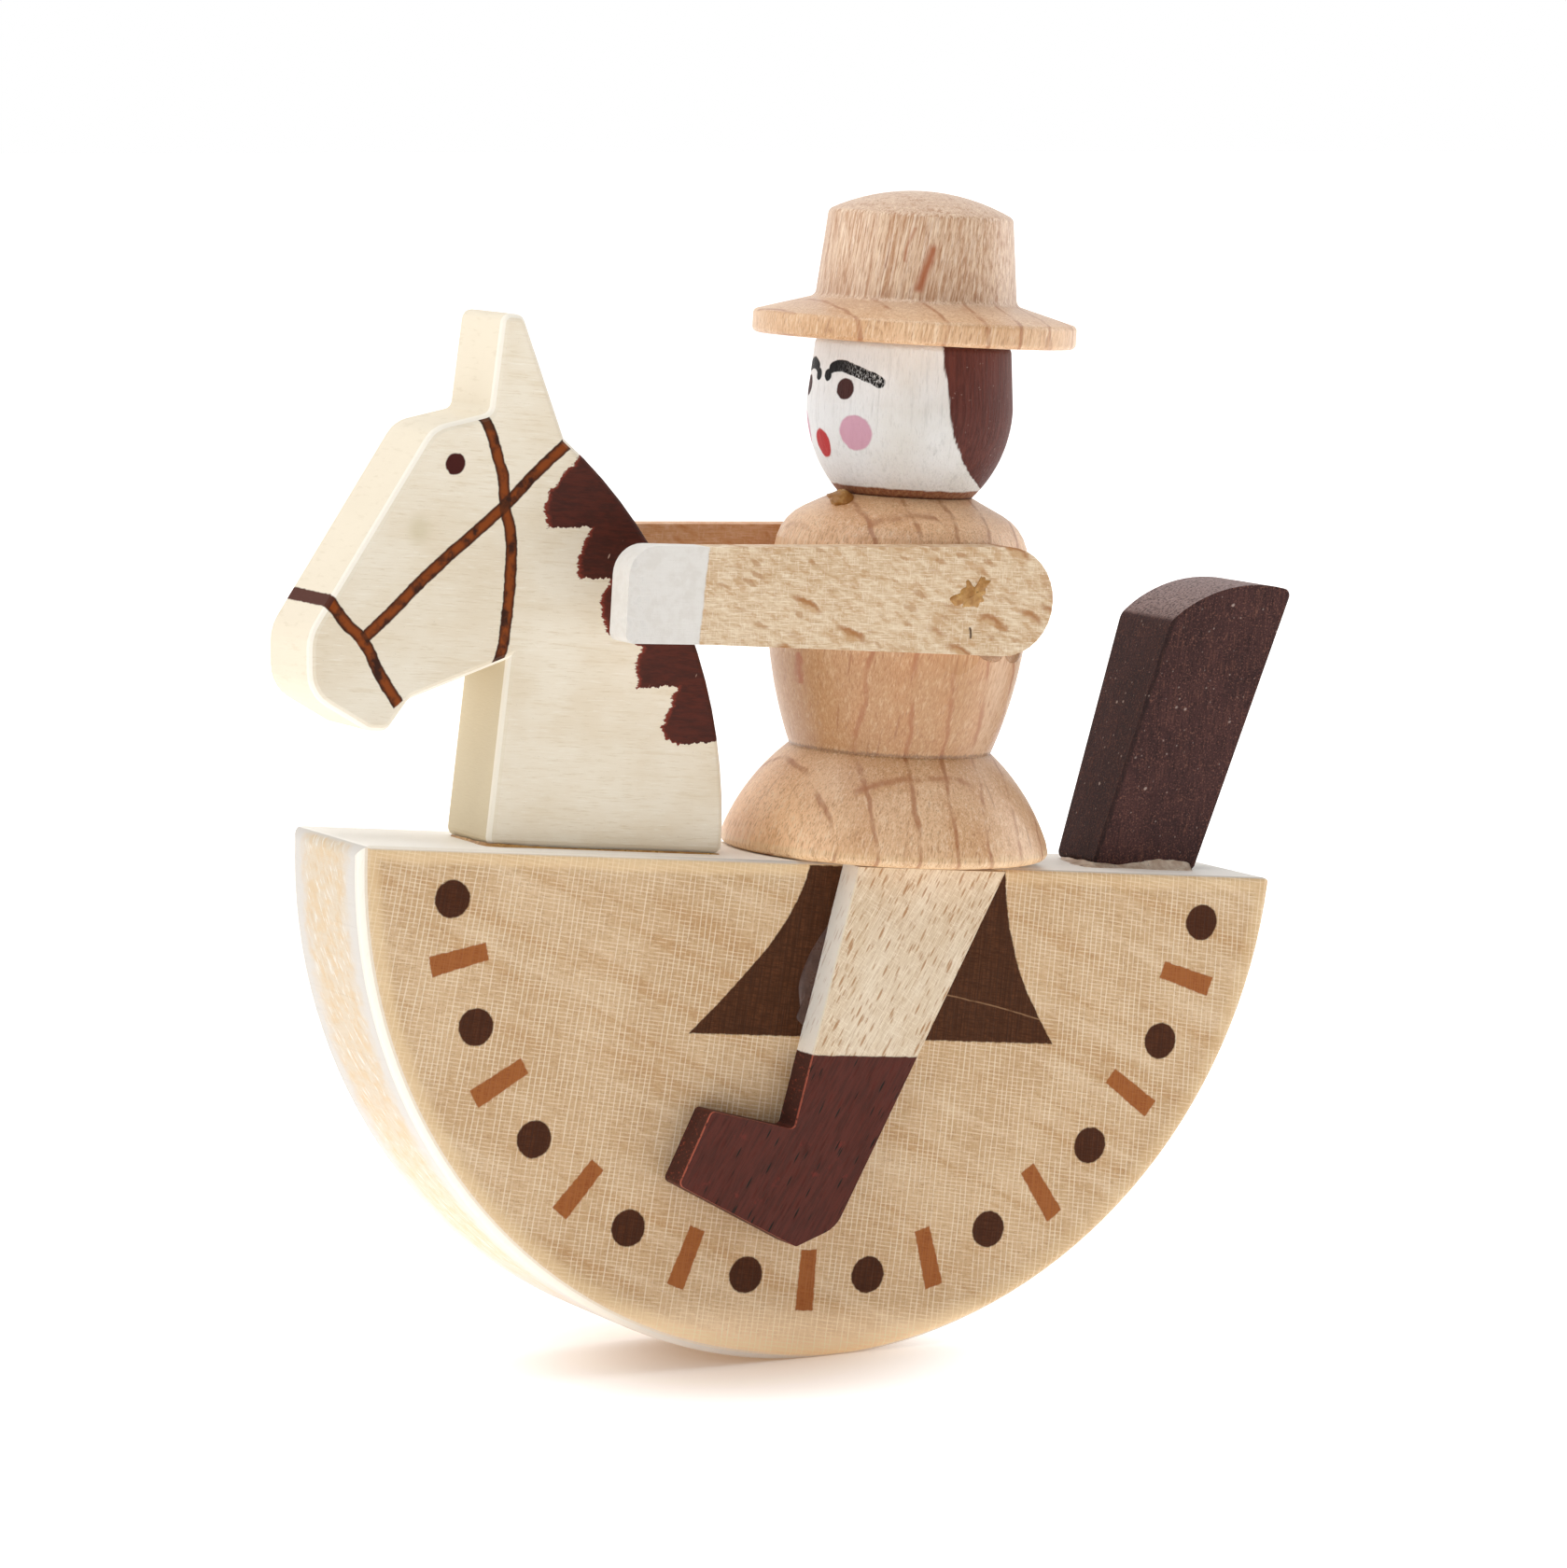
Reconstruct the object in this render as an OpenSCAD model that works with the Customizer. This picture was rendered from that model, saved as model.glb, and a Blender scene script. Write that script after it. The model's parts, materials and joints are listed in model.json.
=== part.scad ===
// Wooden balancing rider toy: a rider on a horse whose body is a half-round rocking board.
// Every piece is plain wood, joined by glue and short dowels. All sizes are in millimetres.
// X runs from the horse's nose (-X) to its tail (+X), Y across the board and Z up.
// The origin is the middle of the flat on the curved edge, on which the toy stands at rest.

/* [Rocking board] */
// Radius of the curved lower edge
rocker_r = 48; // [44:0.5:60]
// How far the flat top lies below the centre of the curve
rocker_drop = 1.6; // [0.6:0.1:6]
// Thickness of the board
rocker_thick = 15; // [12:0.5:20]
// Rounding of the two rims of the curved edge
rocker_edge_r = 1.3; // [0.4:0.1:2]
// Rounding of the two long edges of the flat top
rocker_top_edge_r = 0.5; // [0.3:0.1:2]
// Rounding of the two top corners, seen from the side
rocker_corner_r = 1.2; // [1:0.1:4]
// Angle at which the toy stands, tail down
rest_tilt = 5; // [0:0.1:8]
// Width of the flat, sanded across the curved edge, on which the toy stands still
rest_flat_w = 10; // [6:0.1:14]

/* [Horse head] */
// Thickness of the sawn horse head
horse_thick = 9.1; // [7:0.1:12]
// Rounding of the long edges of the horse head
horse_edge_r = 0.8; // [0.5:0.1:1.5]
// Distance from the front end of the board to the neck
neck_setback = 13.9; // [13:0.1:18]
// Length of the neck where it meets the board
neck_len = 24; // [20:0.1:25]
// Distance of each of the two neck dowels from the nearer end of the neck
neck_dowel_inset = 7.1; // [5:0.1:8]
// Bulge of the crest of the neck beyond a straight line
neck_bow = 5; // [2:0.1:6]
// Height of the poll, where the crest meets the ear, above the board
poll_h = 36.8; // [34:0.1:40]
// Distance of the poll behind the front of the neck
poll_back = 4.4; // [2:0.1:5]
// Height of the tip of the ear above the board
ear_h = 47.5; // [43:0.1:52]
// Distance of the tip of the ear in front of the neck
ear_reach = 2.8; // [1:0.1:3]
// Width of the tip of the ear
ear_tip_w = 2.1; // [1.9:0.1:3]
// Rounding of the tip of the ear
ear_r = 0.9; // [0.5:0.1:0.9]
// Height of the foot of the ear, where it meets the forehead, above the board
ear_foot_h = 38.6; // [38:0.1:42]
// Distance of the foot of the ear in front of the neck
ear_foot_reach = 3.2; // [3:0.1:5]
// Height of the forehead above the board
forehead_h = 37; // [35:0.1:38]
// Distance of the forehead in front of the neck
forehead_reach = 8.7; // [7.5:0.1:10.5]
// Rounding of the forehead
forehead_r = 3; // [1:0.1:4]
// Height of the tip of the muzzle above the board
muzzle_h = 18; // [16:0.1:20]
// Distance of the muzzle in front of the neck
muzzle_reach = 19.1; // [17:0.1:22]
// Rounding of the muzzle
muzzle_r = 4; // [1:0.1:5]
// Height of the lips above the board
lip_h = 12.7; // [11.5:0.1:14]
// Distance of the lips in front of the neck
lip_reach = 18.6; // [16.5:0.1:20]
// Rounding of the lips
lip_r = 3.6; // [1:0.1:4]
// Height of the chin above the board
chin_h = 9.8; // [8:0.1:11]
// Distance of the chin in front of the neck
chin_reach = 12.6; // [11.5:0.1:14]
// Length of the chin
chin_len = 1.9; // [1.5:0.1:3]
// Height of the jaw behind the chin above the board
jaw_h = 12.8; // [12:0.1:14]
// Distance of the jaw behind the chin in front of the neck
jaw_reach = 8.7; // [7:0.1:9.5]
// Rounding of the chin and the jaw
chin_r = 1.2; // [0.5:0.1:1.5]
// Height of the throat, where the jaw meets the neck, above the board
throat_h = 16.7; // [15:0.1:18]
// How far the throat lies behind the front of the neck at the board
throat_back = 0.5; // [0:0.1:2]

/* [Tail] */
// Thickness of the tail at the board
tail_foot_thick = 6.4; // [5.5:0.1:9]
// Thickness of the tail at the height of its tip
tail_tip_thick = 9.4; // [6:0.1:12]
// Distance from the rear end of the board to the tail
tail_setback = 6.4; // [5:0.1:9]
// Length of the tail where it meets the board
tail_len = 11.4; // [9:0.1:13]
// Height of the front corner of the tail above the board
tail_front_h = 23.7; // [18:0.1:26]
// How far the front corner leans back from the foot of the tail
tail_front_lean = 5.5; // [3:0.1:8]
// Height of the rear tip of the tail above the board
tail_tip_h = 27.3; // [24:0.1:32]
// How far the rear tip leans back from the foot of the tail
tail_tip_lean = 7.2; // [4:0.1:10]
// Bulge of the curved top of the tail
tail_bow = 1.7; // [0.5:0.1:2.5]
// Rounding of the corners of the tail, seen from the side
tail_corner_r = 0.7; // [0.3:0.1:1.2]
// Rounding of its upper front corner, where the front runs into the curved top
tail_front_r = 1.8; // [0.5:0.1:2.4]

/* [Rider body] */
// Diameter of the skirt at the saddle
skirt_d = 30.6; // [26:0.1:34]
// Height of the waist above the saddle
skirt_h = 9.6; // [7:0.1:12]
// Height of the straight lip at the hem of the skirt
hem_h = 1; // [0.8:0.1:2]
// Rounding of the lower edge of the hem
hem_r = 0.7; // [0.2:0.1:0.7]
// Bulge of the skirt between the hem and the waist
skirt_bow = 0.7; // [0.2:0.1:1.5]
// Diameter of the waist
waist_d = 18.8; // [16:0.1:21]
// Greatest diameter of the torso
torso_d = 24.4; // [22:0.1:28]
// Height of the shoulders, where the torso is widest, above the saddle
shoulder_h = 25.6; // [23:0.1:28]
// Rounding of the shoulders
shoulder_r = 4.6; // [3:0.1:5]
// Height of the neck above the saddle
neck_seat_h = 33.2; // [31.5:0.1:36]
// Diameter of the flat on which the head sits
neck_seat_d = 12.6; // [9:0.1:14]
// Bulge of the side of the torso
torso_bow = 0.8; // [0.1:0.1:1.2]
// Depth of the flats that seat the arms
arm_flat_depth = 0.6; // [0.3:0.1:1.2]
// Forward lean of the rider
rider_lean = 2; // [0:0.1:4]
// How far the rider sits in front of the middle between the neck and the tail
seat_shift = 0.8; // [0:0.1:1.5]

/* [Rider head] */
// Height of the head from the neck to the brim of the hat
head_h = 14.3; // [12:0.1:17]
// Diameter of the head at the neck
chin_d = 12.4; // [10:0.1:14]
// Greatest diameter of the head
head_d = 19.1; // [17:0.1:22]
// Height at which the head is widest
cheek_h = 9; // [8:0.1:11]
// Bulge of the side of the head between the neck and its widest point
cheek_bow = 1; // [0.5:0.1:1.4]
// Diameter of the head under the hat
head_top_d = 18.1; // [16:0.1:19]
// Rounding of the upper edge of the head
head_top_r = 0.8; // [0.3:0.1:1.5]

/* [Hat] */
// Diameter of the brim
brim_d = 30; // [24:0.1:34]
// Thickness of the brim at its edge
brim_edge = 2.1; // [1.2:0.1:3]
// Rise of the brim from its edge to the crown
brim_rise = 1.6; // [0.5:0.1:3]
// Rounding of the edges of the brim
brim_edge_r = 0.5; // [0.2:0.1:0.5]
// Diameter of the crown where it meets the brim
crown_base_d = 18.7; // [16:0.1:21]
// Diameter of the crown at its top edge
crown_top_d = 17.1; // [14:0.1:19]
// Height of the straight side of the crown
crown_h = 8; // [6:0.1:11]
// Rounding of the foot and the top edge of the crown
crown_edge_r = 0.7; // [0.3:0.1:0.8]
// Height of the domed top of the crown
dome_h = 2.1; // [0.8:0.1:3]

/* [Arms and legs] */
// Thickness of the sawn arms and legs
limb_thick = 3.2; // [2.4:0.1:4.2]
// Height of the shoulder joint line above the saddle
arm_h = 24.6; // [21:0.1:26]
// Distance of the centre of the shoulder behind the rider's axis
arm_back = 2.8; // [1:0.1:4]
// Radius of the rounded shoulder end of the arm
arm_shoulder_r = 5; // [4:0.1:6]
// Length of the arm from the centre of the shoulder to the fingertips
arm_len = 38.7; // [34:0.1:42]
// Height of the hand
hand_h = 8.7; // [7:0.1:9.6]
// Rounding of the upper corner of the hand
hand_r = 2.8; // [1:0.1:4]
// Rounding of the lower corner of the hand
fingertip_r = 0.8; // [0.4:0.1:2]
// Distance of the front of the thigh in front of the rider's axis
thigh_front = 8.4; // [7:0.1:10]
// Width of the thigh at the top edge of the board
thigh_w = 15.4; // [13:0.1:17]
// Drop from the top edge of the board to the ankle
ankle_drop = 24.3; // [21:0.1:27]
// Distance of the ankle in front of the top of the thigh
ankle_reach = 4.4; // [2:0.1:6]
// Length of the boot from the ankle to the toe
toe_len = 8.7; // [6:0.1:10]
// Rise of the toe above the ankle
toe_rise = 1.6; // [0:0.1:3]
// Height of the toe
toe_h = 6.8; // [5:0.1:8]
// How far the sole reaches in front of the top of the toe
toe_slant = 2.7; // [1:0.1:4]
// Rounding of the ankle, the toe and the sole
boot_r = 0.5; // [0.3:0.1:0.8]
// Drop from the top edge of the board to the heel
heel_drop = 35.1; // [31:0.1:36]
// Distance of the front of the heel in front of the top of the thigh
heel_reach = 3.2; // [2:0.1:5]
// Length of the heel
heel_len = 4; // [3:0.1:5]
// Rise of the back of the heel
heel_rise = 1.8; // [1:0.1:3]
// Rounding of the back of the heel
heel_r = 3; // [1:0.1:5]

/* [Dowels] */
// Diameter of the dowels that hold the horse head and the rider on the board
thick_dowel_d = 5; // [3:0.1:6]
// Diameter of the dowels that hold the tail, the rider's head and the hat
thin_dowel_d = 4; // [3:0.1:5]
// Depth that a thick dowel reaches into each piece
thick_dowel_depth = 8; // [6:0.1:9]
// Depth that a thin dowel reaches into each piece
thin_dowel_depth = 5.5; // [4:0.1:6]
// Gap for glue all round a dowel
glue_gap = 0.05; // [0.02:0.01:0.1]
// Gap for glue at each end of a dowel
glue_end_gap = 0.4; // [0.2:0.1:0.8]
// Chamfer at the ends of a dowel
dowel_chamfer = 0.4; // [0.2:0.1:0.8]

/* [Hidden] */

// Smoothness of turned and drilled surfaces
$fn = 96;
// Turn between the points of a rounded corner, in degrees
corner_step = 12;
// Steps along a long arc of an outline
arc_steps = 16;
// Steps along the domed top of the hat, each longer than the rounding of the crown
dome_steps = 8;
// Smoothness of the long curve of the board
rocker_fn = 180;
// Roundness of the tool that softens the edges of the horse head
edge_facets = 16;
// How far cutting shapes run past the surfaces that they cut
overcut = 1;

// Board
board_top = rocker_r - rocker_drop;
board_end = sqrt(pow(rocker_r, 2) - pow(rocker_drop, 2));
corner_z = board_top - rocker_corner_r;
corner_x = sqrt(pow(rocker_r - rocker_corner_r, 2) - pow(corner_z - rocker_r, 2));
rest_flat_rise = rocker_r - sqrt(pow(rocker_r, 2) - pow(rest_flat_w / 2, 2));

// Places along the board
neck_front_x = neck_setback - board_end;
neck_back_x = neck_front_x + neck_len;
tail_back_x = board_end - tail_setback;
tail_front_x = tail_back_x - tail_len;
seat_x = (neck_back_x + tail_front_x) / 2 - seat_shift;

// The hem touches the board at its front, because the rider leans forward
skirt_r = skirt_d / 2;
seat_lift = skirt_r * sin(rider_lean);
arm_flat_y = torso_d / 2 - arm_flat_depth;
brim_h = neck_seat_h + head_h;

// Centre of the arc from p to q that bulges by bow to the right of the way from p to q
function arc_centre(p, q, bow) =
    let (d = q - p, half = norm(d) / 2, radius = (half * half + bow * bow) / (2 * bow))
    (p + q) / 2 + [-d[1], d[0]] / norm(d) * (radius - bow);

// Points between p and q on that arc, without its two ends
function arc_between(p, q, bow, steps = arc_steps) =
    let (c = arc_centre(p, q, bow), a = p - c, b = q - c)
    let (turn = atan2(a[0] * b[1] - a[1] * b[0], a * b))
    [for (i = [1 : steps - 1]) c + turned(a, turn * i / steps)];

// Vector v turned by an angle
function turned(v, angle) =
    [v[0] * cos(angle) - v[1] * sin(angle), v[0] * sin(angle) + v[1] * cos(angle)];

// Points of the rounded corner at b, on the way from a to c
function corner(a, b, c, r) =
    let (u = (a - b) / norm(a - b), w = (c - b) / norm(c - b), half = acos(u * w) / 2)
    let (centre = b + (u + w) / norm(u + w) * r / sin(half))
    let (start = b + u * r / tan(half) - centre, side = sign(u[0] * w[1] - u[1] * w[0]))
    let (turn = -side * (180 - 2 * half), steps = max(2, ceil(abs(turn) / corner_step)))
    [for (i = [0 : steps]) centre + turned(start, turn * i / steps)];

// Outline from corners given as [x, y, rounding]; a corner without a rounding stays as it is
function outline(corners) =
    let (n = len(corners))
    let (points = [for (c = corners) [c[0], c[1]]])
    [for (i = [0 : n - 1])
        each is_undef(corners[i][2]) ? [points[i]]
            : corner(points[(i + n - 1) % n], points[i], points[(i + 1) % n], corners[i][2])];

// Lays an outline drawn in the side view on the board, with y = 0 in the middle of its thickness
module sawn(thick) {
    rotate([90, 0, 0])
        linear_extrude(thick, center = true)
            children();
}

// The same with all its edges softened
module softened(thick, edge_r) {
    rotate([90, 0, 0])
        minkowski() {
            linear_extrude(thick - 2 * edge_r, center = true)
                offset(delta = -edge_r)
                    children();
            sphere(edge_r, $fn = edge_facets);
        }
}

// Everything turns about the centre of the curve, and comes down onto the flat of the curved edge
module at_rest() {
    translate([0, 0, rocker_r - rest_flat_rise])
        rotate([0, rest_tilt, 0])
            translate([0, 0, -rocker_r])
                children();
}

// What the flat takes off the board, below the table's level
module rest_flat_cut() {
    translate([-rocker_r, -rocker_thick, -rest_flat_rise - overcut])
        cube([2 * rocker_r, 2 * rocker_thick, rest_flat_rise + overcut]);
}

module on_board(x) {
    translate([x, 0, board_top])
        children();
}

// The rider's own frame: its origin is the middle of the hem, its Z axis is the rider's axis
module on_seat() {
    translate([seat_x, 0, board_top + seat_lift])
        rotate([0, -rider_lean, 0])
            children();
}

// A dowel that reaches the same depth to each side of z = 0
module dowel(d, depth) {
    rotate_extrude()
        polygon([
            [0, -depth], [d / 2 - dowel_chamfer, -depth], [d / 2, dowel_chamfer - depth],
            [d / 2, depth - dowel_chamfer], [d / 2 - dowel_chamfer, depth], [0, depth]
        ]);
}

// The hole for that dowel, through both pieces
module dowel_hole(d, depth) {
    cylinder(d = d + 2 * glue_gap, h = 2 * (depth + glue_end_gap), center = true);
}

module front_neck_place() {
    on_board(neck_front_x + neck_dowel_inset)
        children();
}

module rear_neck_place() {
    on_board(neck_back_x - neck_dowel_inset)
        children();
}

module tail_place() {
    on_board((tail_front_x + tail_back_x) / 2)
        children();
}

// Side view of the board: the half disc with its two top corners rounded
module board_outline() {
    difference() {
        intersection() {
            translate([0, rocker_r])
                circle(rocker_r, $fn = rocker_fn);
            translate([-rocker_r, 0])
                square([2 * rocker_r, board_top]);
        }
        for (side = [-1, 1])
            polygon([
                [side * corner_x, board_top + overcut],
                [side * corner_x, board_top],
                rim_point(side),
                [side * (rocker_r + overcut), rim_point(side)[1]],
                [side * (rocker_r + overcut), board_top + overcut]
            ]);
    }
    for (side = [-1, 1])
        translate([side * corner_x, corner_z])
            circle(rocker_corner_r);
}

// Where the rounding of a top corner runs into the curved edge
function rim_point(side) =
    let (v = [side * corner_x, corner_z - rocker_r])
    [0, rocker_r] + v * rocker_r / norm(v);

// The curved edge with its rounded rims, as a whole disc
module rim_disc() {
    translate([0, 0, rocker_r])
        rotate([90, 0, 0])
            rotate_extrude($fn = rocker_fn)
                intersection() {
                    rounded_slab_section(2 * rocker_r, rocker_thick, rocker_edge_r);
                    translate([0, -rocker_thick])
                        square([rocker_r, 2 * rocker_thick]);
                }
}

// Rectangle about the origin with rounded corners
module rounded_slab_section(width, height, r) {
    polygon(outline([
        [-width / 2, -height / 2, r], [width / 2, -height / 2, r],
        [width / 2, height / 2, r], [-width / 2, height / 2, r]
    ]));
}

module rocker_board() {
    color("burlywood")
        difference() {
            at_rest()
                drilled_board();
            rest_flat_cut();
        }
}

// The board with its dowel holes, before its flat
module drilled_board() {
    difference() {
        intersection() {
            rim_disc();
            sawn(rocker_thick)
                board_outline();
            rotate([90, 0, 90])
                linear_extrude(2 * rocker_r, center = true)
                    translate([0, board_top - rocker_r])
                        rounded_slab_section(rocker_thick, 2 * rocker_r, rocker_top_edge_r);
        }
        front_neck_place()
            dowel_hole(thick_dowel_d, thick_dowel_depth);
        rear_neck_place()
            dowel_hole(thick_dowel_d, thick_dowel_depth);
        tail_place()
            dowel_hole(thin_dowel_d, thin_dowel_depth);
        on_seat()
            dowel_hole(thick_dowel_d, thick_dowel_depth);
    }
}

// Side view of the horse head, from the front of the neck at the board
module horse_outline() {
    neck_back = [neck_len, 0];
    poll = [poll_back, poll_h];
    polygon(outline(concat(
        [[0, 0], neck_back],
        arc_between(neck_back, poll, neck_bow),
        [
            poll,
            [ear_tip_w - ear_reach, ear_h, ear_r],
            [-ear_reach, ear_h, ear_r],
            [-ear_foot_reach, ear_foot_h, ear_r],
            [-forehead_reach, forehead_h, forehead_r],
            [-muzzle_reach, muzzle_h, muzzle_r],
            [-lip_reach, lip_h, lip_r],
            [-chin_reach, chin_h, chin_r],
            [chin_len - chin_reach, chin_h, chin_r],
            [-jaw_reach, jaw_h, chin_r],
            [throat_back, throat_h]
        ]
    )));
}

module horse_head() {
    color("antiquewhite")
        at_rest()
            difference() {
                on_board(neck_front_x)
                    softened(horse_thick, horse_edge_r)
                        horse_outline();
                front_neck_place()
                    dowel_hole(thick_dowel_d, thick_dowel_depth);
                rear_neck_place()
                    dowel_hole(thick_dowel_d, thick_dowel_depth);
            }
}

// Side view of the tail, from its front at the board
module tail_outline() {
    front_corner = [tail_front_lean, tail_front_h];
    tip = [tail_len + tail_tip_lean, tail_tip_h];
    top = arc_between(tip, front_corner, tail_bow);
    // The last point of the curved top makes room for the rounding of the front corner
    polygon(outline(concat(
        [[0, 0, tail_corner_r], [tail_len, 0, tail_corner_r], [tip[0], tip[1], tail_corner_r]],
        [for (i = [0 : len(top) - 2]) top[i]],
        [[front_corner[0], front_corner[1], tail_front_r]]
    )));
}

// Front view of the tail: it is a wedge, as if split from a ring
module tail_wedge() {
    growth = (tail_tip_thick - tail_foot_thick) / tail_tip_h / 2;
    foot_w = tail_foot_thick / 2 - growth * overcut;
    top_h = tail_tip_h + tail_bow + overcut;
    top_w = tail_foot_thick / 2 + growth * top_h;
    polygon([[-foot_w, -overcut], [foot_w, -overcut], [top_w, top_h], [-top_w, top_h]]);
}

module tail() {
    color("#432a30")
        at_rest()
            difference() {
                on_board(tail_front_x)
                    intersection() {
                        sawn(2 * tail_tip_thick)
                            tail_outline();
                        rotate([90, 0, 90])
                            linear_extrude(4 * tail_tip_h, center = true)
                                tail_wedge();
                    }
                tail_place()
                    dowel_hole(thin_dowel_d, thin_dowel_depth);
            }
}

// Half section of the turned skirt and torso, from the hem up to the neck
module rider_body_section() {
    hem = [skirt_r, hem_h];
    waist = [waist_d / 2, skirt_h];
    shoulder = [torso_d / 2, shoulder_h];
    neck = [neck_seat_d / 2, neck_seat_h];
    polygon(concat(
        [[0, 0]],
        corner([0, 0], [skirt_r, 0], hem, hem_r),
        arc_between(hem, waist, skirt_bow),
        [waist],
        arc_between(waist, shoulder, torso_bow),
        corner(waist, [torso_d / 2, shoulder_h + shoulder_r], neck, shoulder_r),
        [neck, [0, neck_seat_h]]
    ));
}

module rider_body() {
    color("#d8b28a")
        at_rest()
            on_seat()
                difference() {
                    rotate_extrude()
                        rider_body_section();
                    for (side = [-1, 1])
                        translate([0, side * (arm_flat_y + skirt_r), skirt_h + neck_seat_h])
                            cube([2 * skirt_r, 2 * skirt_r, 2 * neck_seat_h], center = true);
                    dowel_hole(thick_dowel_d, thick_dowel_depth);
                    translate([0, 0, neck_seat_h])
                        dowel_hole(thin_dowel_d, thin_dowel_depth);
                }
}

// Half section of the turned head, from the neck up to the brim
module rider_head_section() {
    chin = [chin_d / 2, 0];
    cheek = [head_d / 2, cheek_h];
    crown = [head_top_d / 2, head_h];
    polygon(concat(
        [[0, 0], chin],
        arc_between(chin, cheek, cheek_bow),
        corner(cheek, crown, [0, head_h], head_top_r),
        [[0, head_h]]
    ));
}

module rider_head() {
    color("ivory")
        at_rest()
            on_seat()
                translate([0, 0, neck_seat_h])
                    difference() {
                        rotate_extrude()
                            rider_head_section();
                        dowel_hole(thin_dowel_d, thin_dowel_depth);
                        translate([0, 0, head_h])
                            dowel_hole(thin_dowel_d, thin_dowel_depth);
                    }
}

// Half section of the turned hat, from the underside of the brim
module hat_section() {
    brim_foot = [brim_d / 2, 0];
    brim_top = [brim_d / 2, brim_edge];
    crown_foot = [crown_base_d / 2, brim_edge + brim_rise];
    rim = [crown_top_d / 2, crown_foot[1] + crown_h];
    top = [0, rim[1] + dome_h];
    dome_r = (pow(rim[0], 2) + pow(dome_h, 2)) / (2 * dome_h);
    dome = arc_between(rim, top, dome_r * (1 - cos(atan(dome_h / rim[0]))), dome_steps);
    polygon(concat(
        [[0, 0]],
        corner([0, 0], brim_foot, brim_top, brim_edge_r),
        corner(brim_foot, brim_top, crown_foot, brim_edge_r),
        corner(brim_top, crown_foot, rim, crown_edge_r),
        corner(crown_foot, rim, dome[0], crown_edge_r),
        dome,
        [top]
    ));
}

module hat() {
    color("#dcb78f")
        at_rest()
            on_seat()
                translate([0, 0, brim_h])
                    difference() {
                        rotate_extrude()
                            hat_section();
                        dowel_hole(thin_dowel_d, thin_dowel_depth);
                    }
}

// Side view of an arm, from the centre of its shoulder end
module arm_outline() {
    wrist = arm_len - hand_h;
    shoulder_step = 180 / arc_steps;
    polygon(concat(
        [for (angle = [-90 : shoulder_step : 90]) arm_shoulder_r * [cos(angle), sin(angle)]],
        outline([
            [-wrist, hand_h / 2],
            [-arm_len, hand_h / 2, hand_r],
            [-arm_len, -hand_h / 2, fingertip_r],
            [-wrist, -hand_h / 2]
        ])
    ));
}

// One arm: side is -1 for the one nearer the viewer and 1 for the other
module arm(side) {
    color("#dcbf98")
        at_rest()
            on_seat()
                translate([arm_back, side * (arm_flat_y + limb_thick / 2), arm_h])
                    sawn(limb_thick)
                        arm_outline();
}

// Side view of a leg with its boot, from the top front corner of the thigh
module leg_outline() {
    toe_x = -ankle_reach - toe_len;
    toe_y = toe_rise - ankle_drop;
    polygon(outline([
        [0, 0],
        [-ankle_reach, -ankle_drop, boot_r],
        [toe_x, toe_y, boot_r],
        [toe_x - toe_slant, toe_y - toe_h, boot_r],
        [-heel_reach, -heel_drop, boot_r],
        [heel_len - heel_reach, heel_rise - heel_drop, heel_r],
        [thigh_w, 0]
    ]));
}

module leg(side) {
    color("#dcc39c")
        at_rest()
            translate([seat_x - thigh_front, side * (rocker_thick + limb_thick) / 2, board_top])
                sawn(limb_thick)
                    leg_outline();
}

module left_arm() {
    arm(-1);
}

module right_arm() {
    arm(1);
}

module left_leg() {
    leg(-1);
}

module right_leg() {
    leg(1);
}

module wood_dowel(d, depth) {
    color("tan")
        dowel(d, depth);
}

module front_neck_dowel() {
    at_rest()
        front_neck_place()
            wood_dowel(thick_dowel_d, thick_dowel_depth);
}

module rear_neck_dowel() {
    at_rest()
        rear_neck_place()
            wood_dowel(thick_dowel_d, thick_dowel_depth);
}

module tail_dowel() {
    at_rest()
        tail_place()
            wood_dowel(thin_dowel_d, thin_dowel_depth);
}

module seat_dowel() {
    at_rest()
        on_seat()
            wood_dowel(thick_dowel_d, thick_dowel_depth);
}

module head_dowel() {
    at_rest()
        on_seat()
            translate([0, 0, neck_seat_h])
                wood_dowel(thin_dowel_d, thin_dowel_depth);
}

module hat_dowel() {
    at_rest()
        on_seat()
            translate([0, 0, brim_h])
                wood_dowel(thin_dowel_d, thin_dowel_depth);
}

rocker_board();
horse_head();
tail();
rider_body();
rider_head();
hat();
left_arm();
right_arm();
left_leg();
right_leg();
front_neck_dowel();
rear_neck_dowel();
tail_dowel();
seat_dowel();
head_dowel();
hat_dowel();
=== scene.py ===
import json
import math

import bmesh
import bpy
from mathutils import Matrix, Vector, noise


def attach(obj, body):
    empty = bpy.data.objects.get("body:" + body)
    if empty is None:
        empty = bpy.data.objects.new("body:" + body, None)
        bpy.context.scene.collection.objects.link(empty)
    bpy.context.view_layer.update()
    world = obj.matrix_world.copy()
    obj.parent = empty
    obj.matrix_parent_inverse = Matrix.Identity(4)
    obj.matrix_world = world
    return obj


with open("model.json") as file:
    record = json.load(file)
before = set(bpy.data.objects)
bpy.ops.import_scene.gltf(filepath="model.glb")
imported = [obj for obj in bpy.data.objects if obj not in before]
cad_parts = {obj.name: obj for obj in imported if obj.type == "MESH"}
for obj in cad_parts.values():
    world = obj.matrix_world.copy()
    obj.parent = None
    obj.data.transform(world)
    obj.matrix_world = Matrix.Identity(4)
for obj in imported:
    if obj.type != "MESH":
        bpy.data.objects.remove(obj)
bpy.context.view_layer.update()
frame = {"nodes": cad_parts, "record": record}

# Sizes are in millimetres and angles in degrees unless a comment says otherwise.
MM = 0.001

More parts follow.
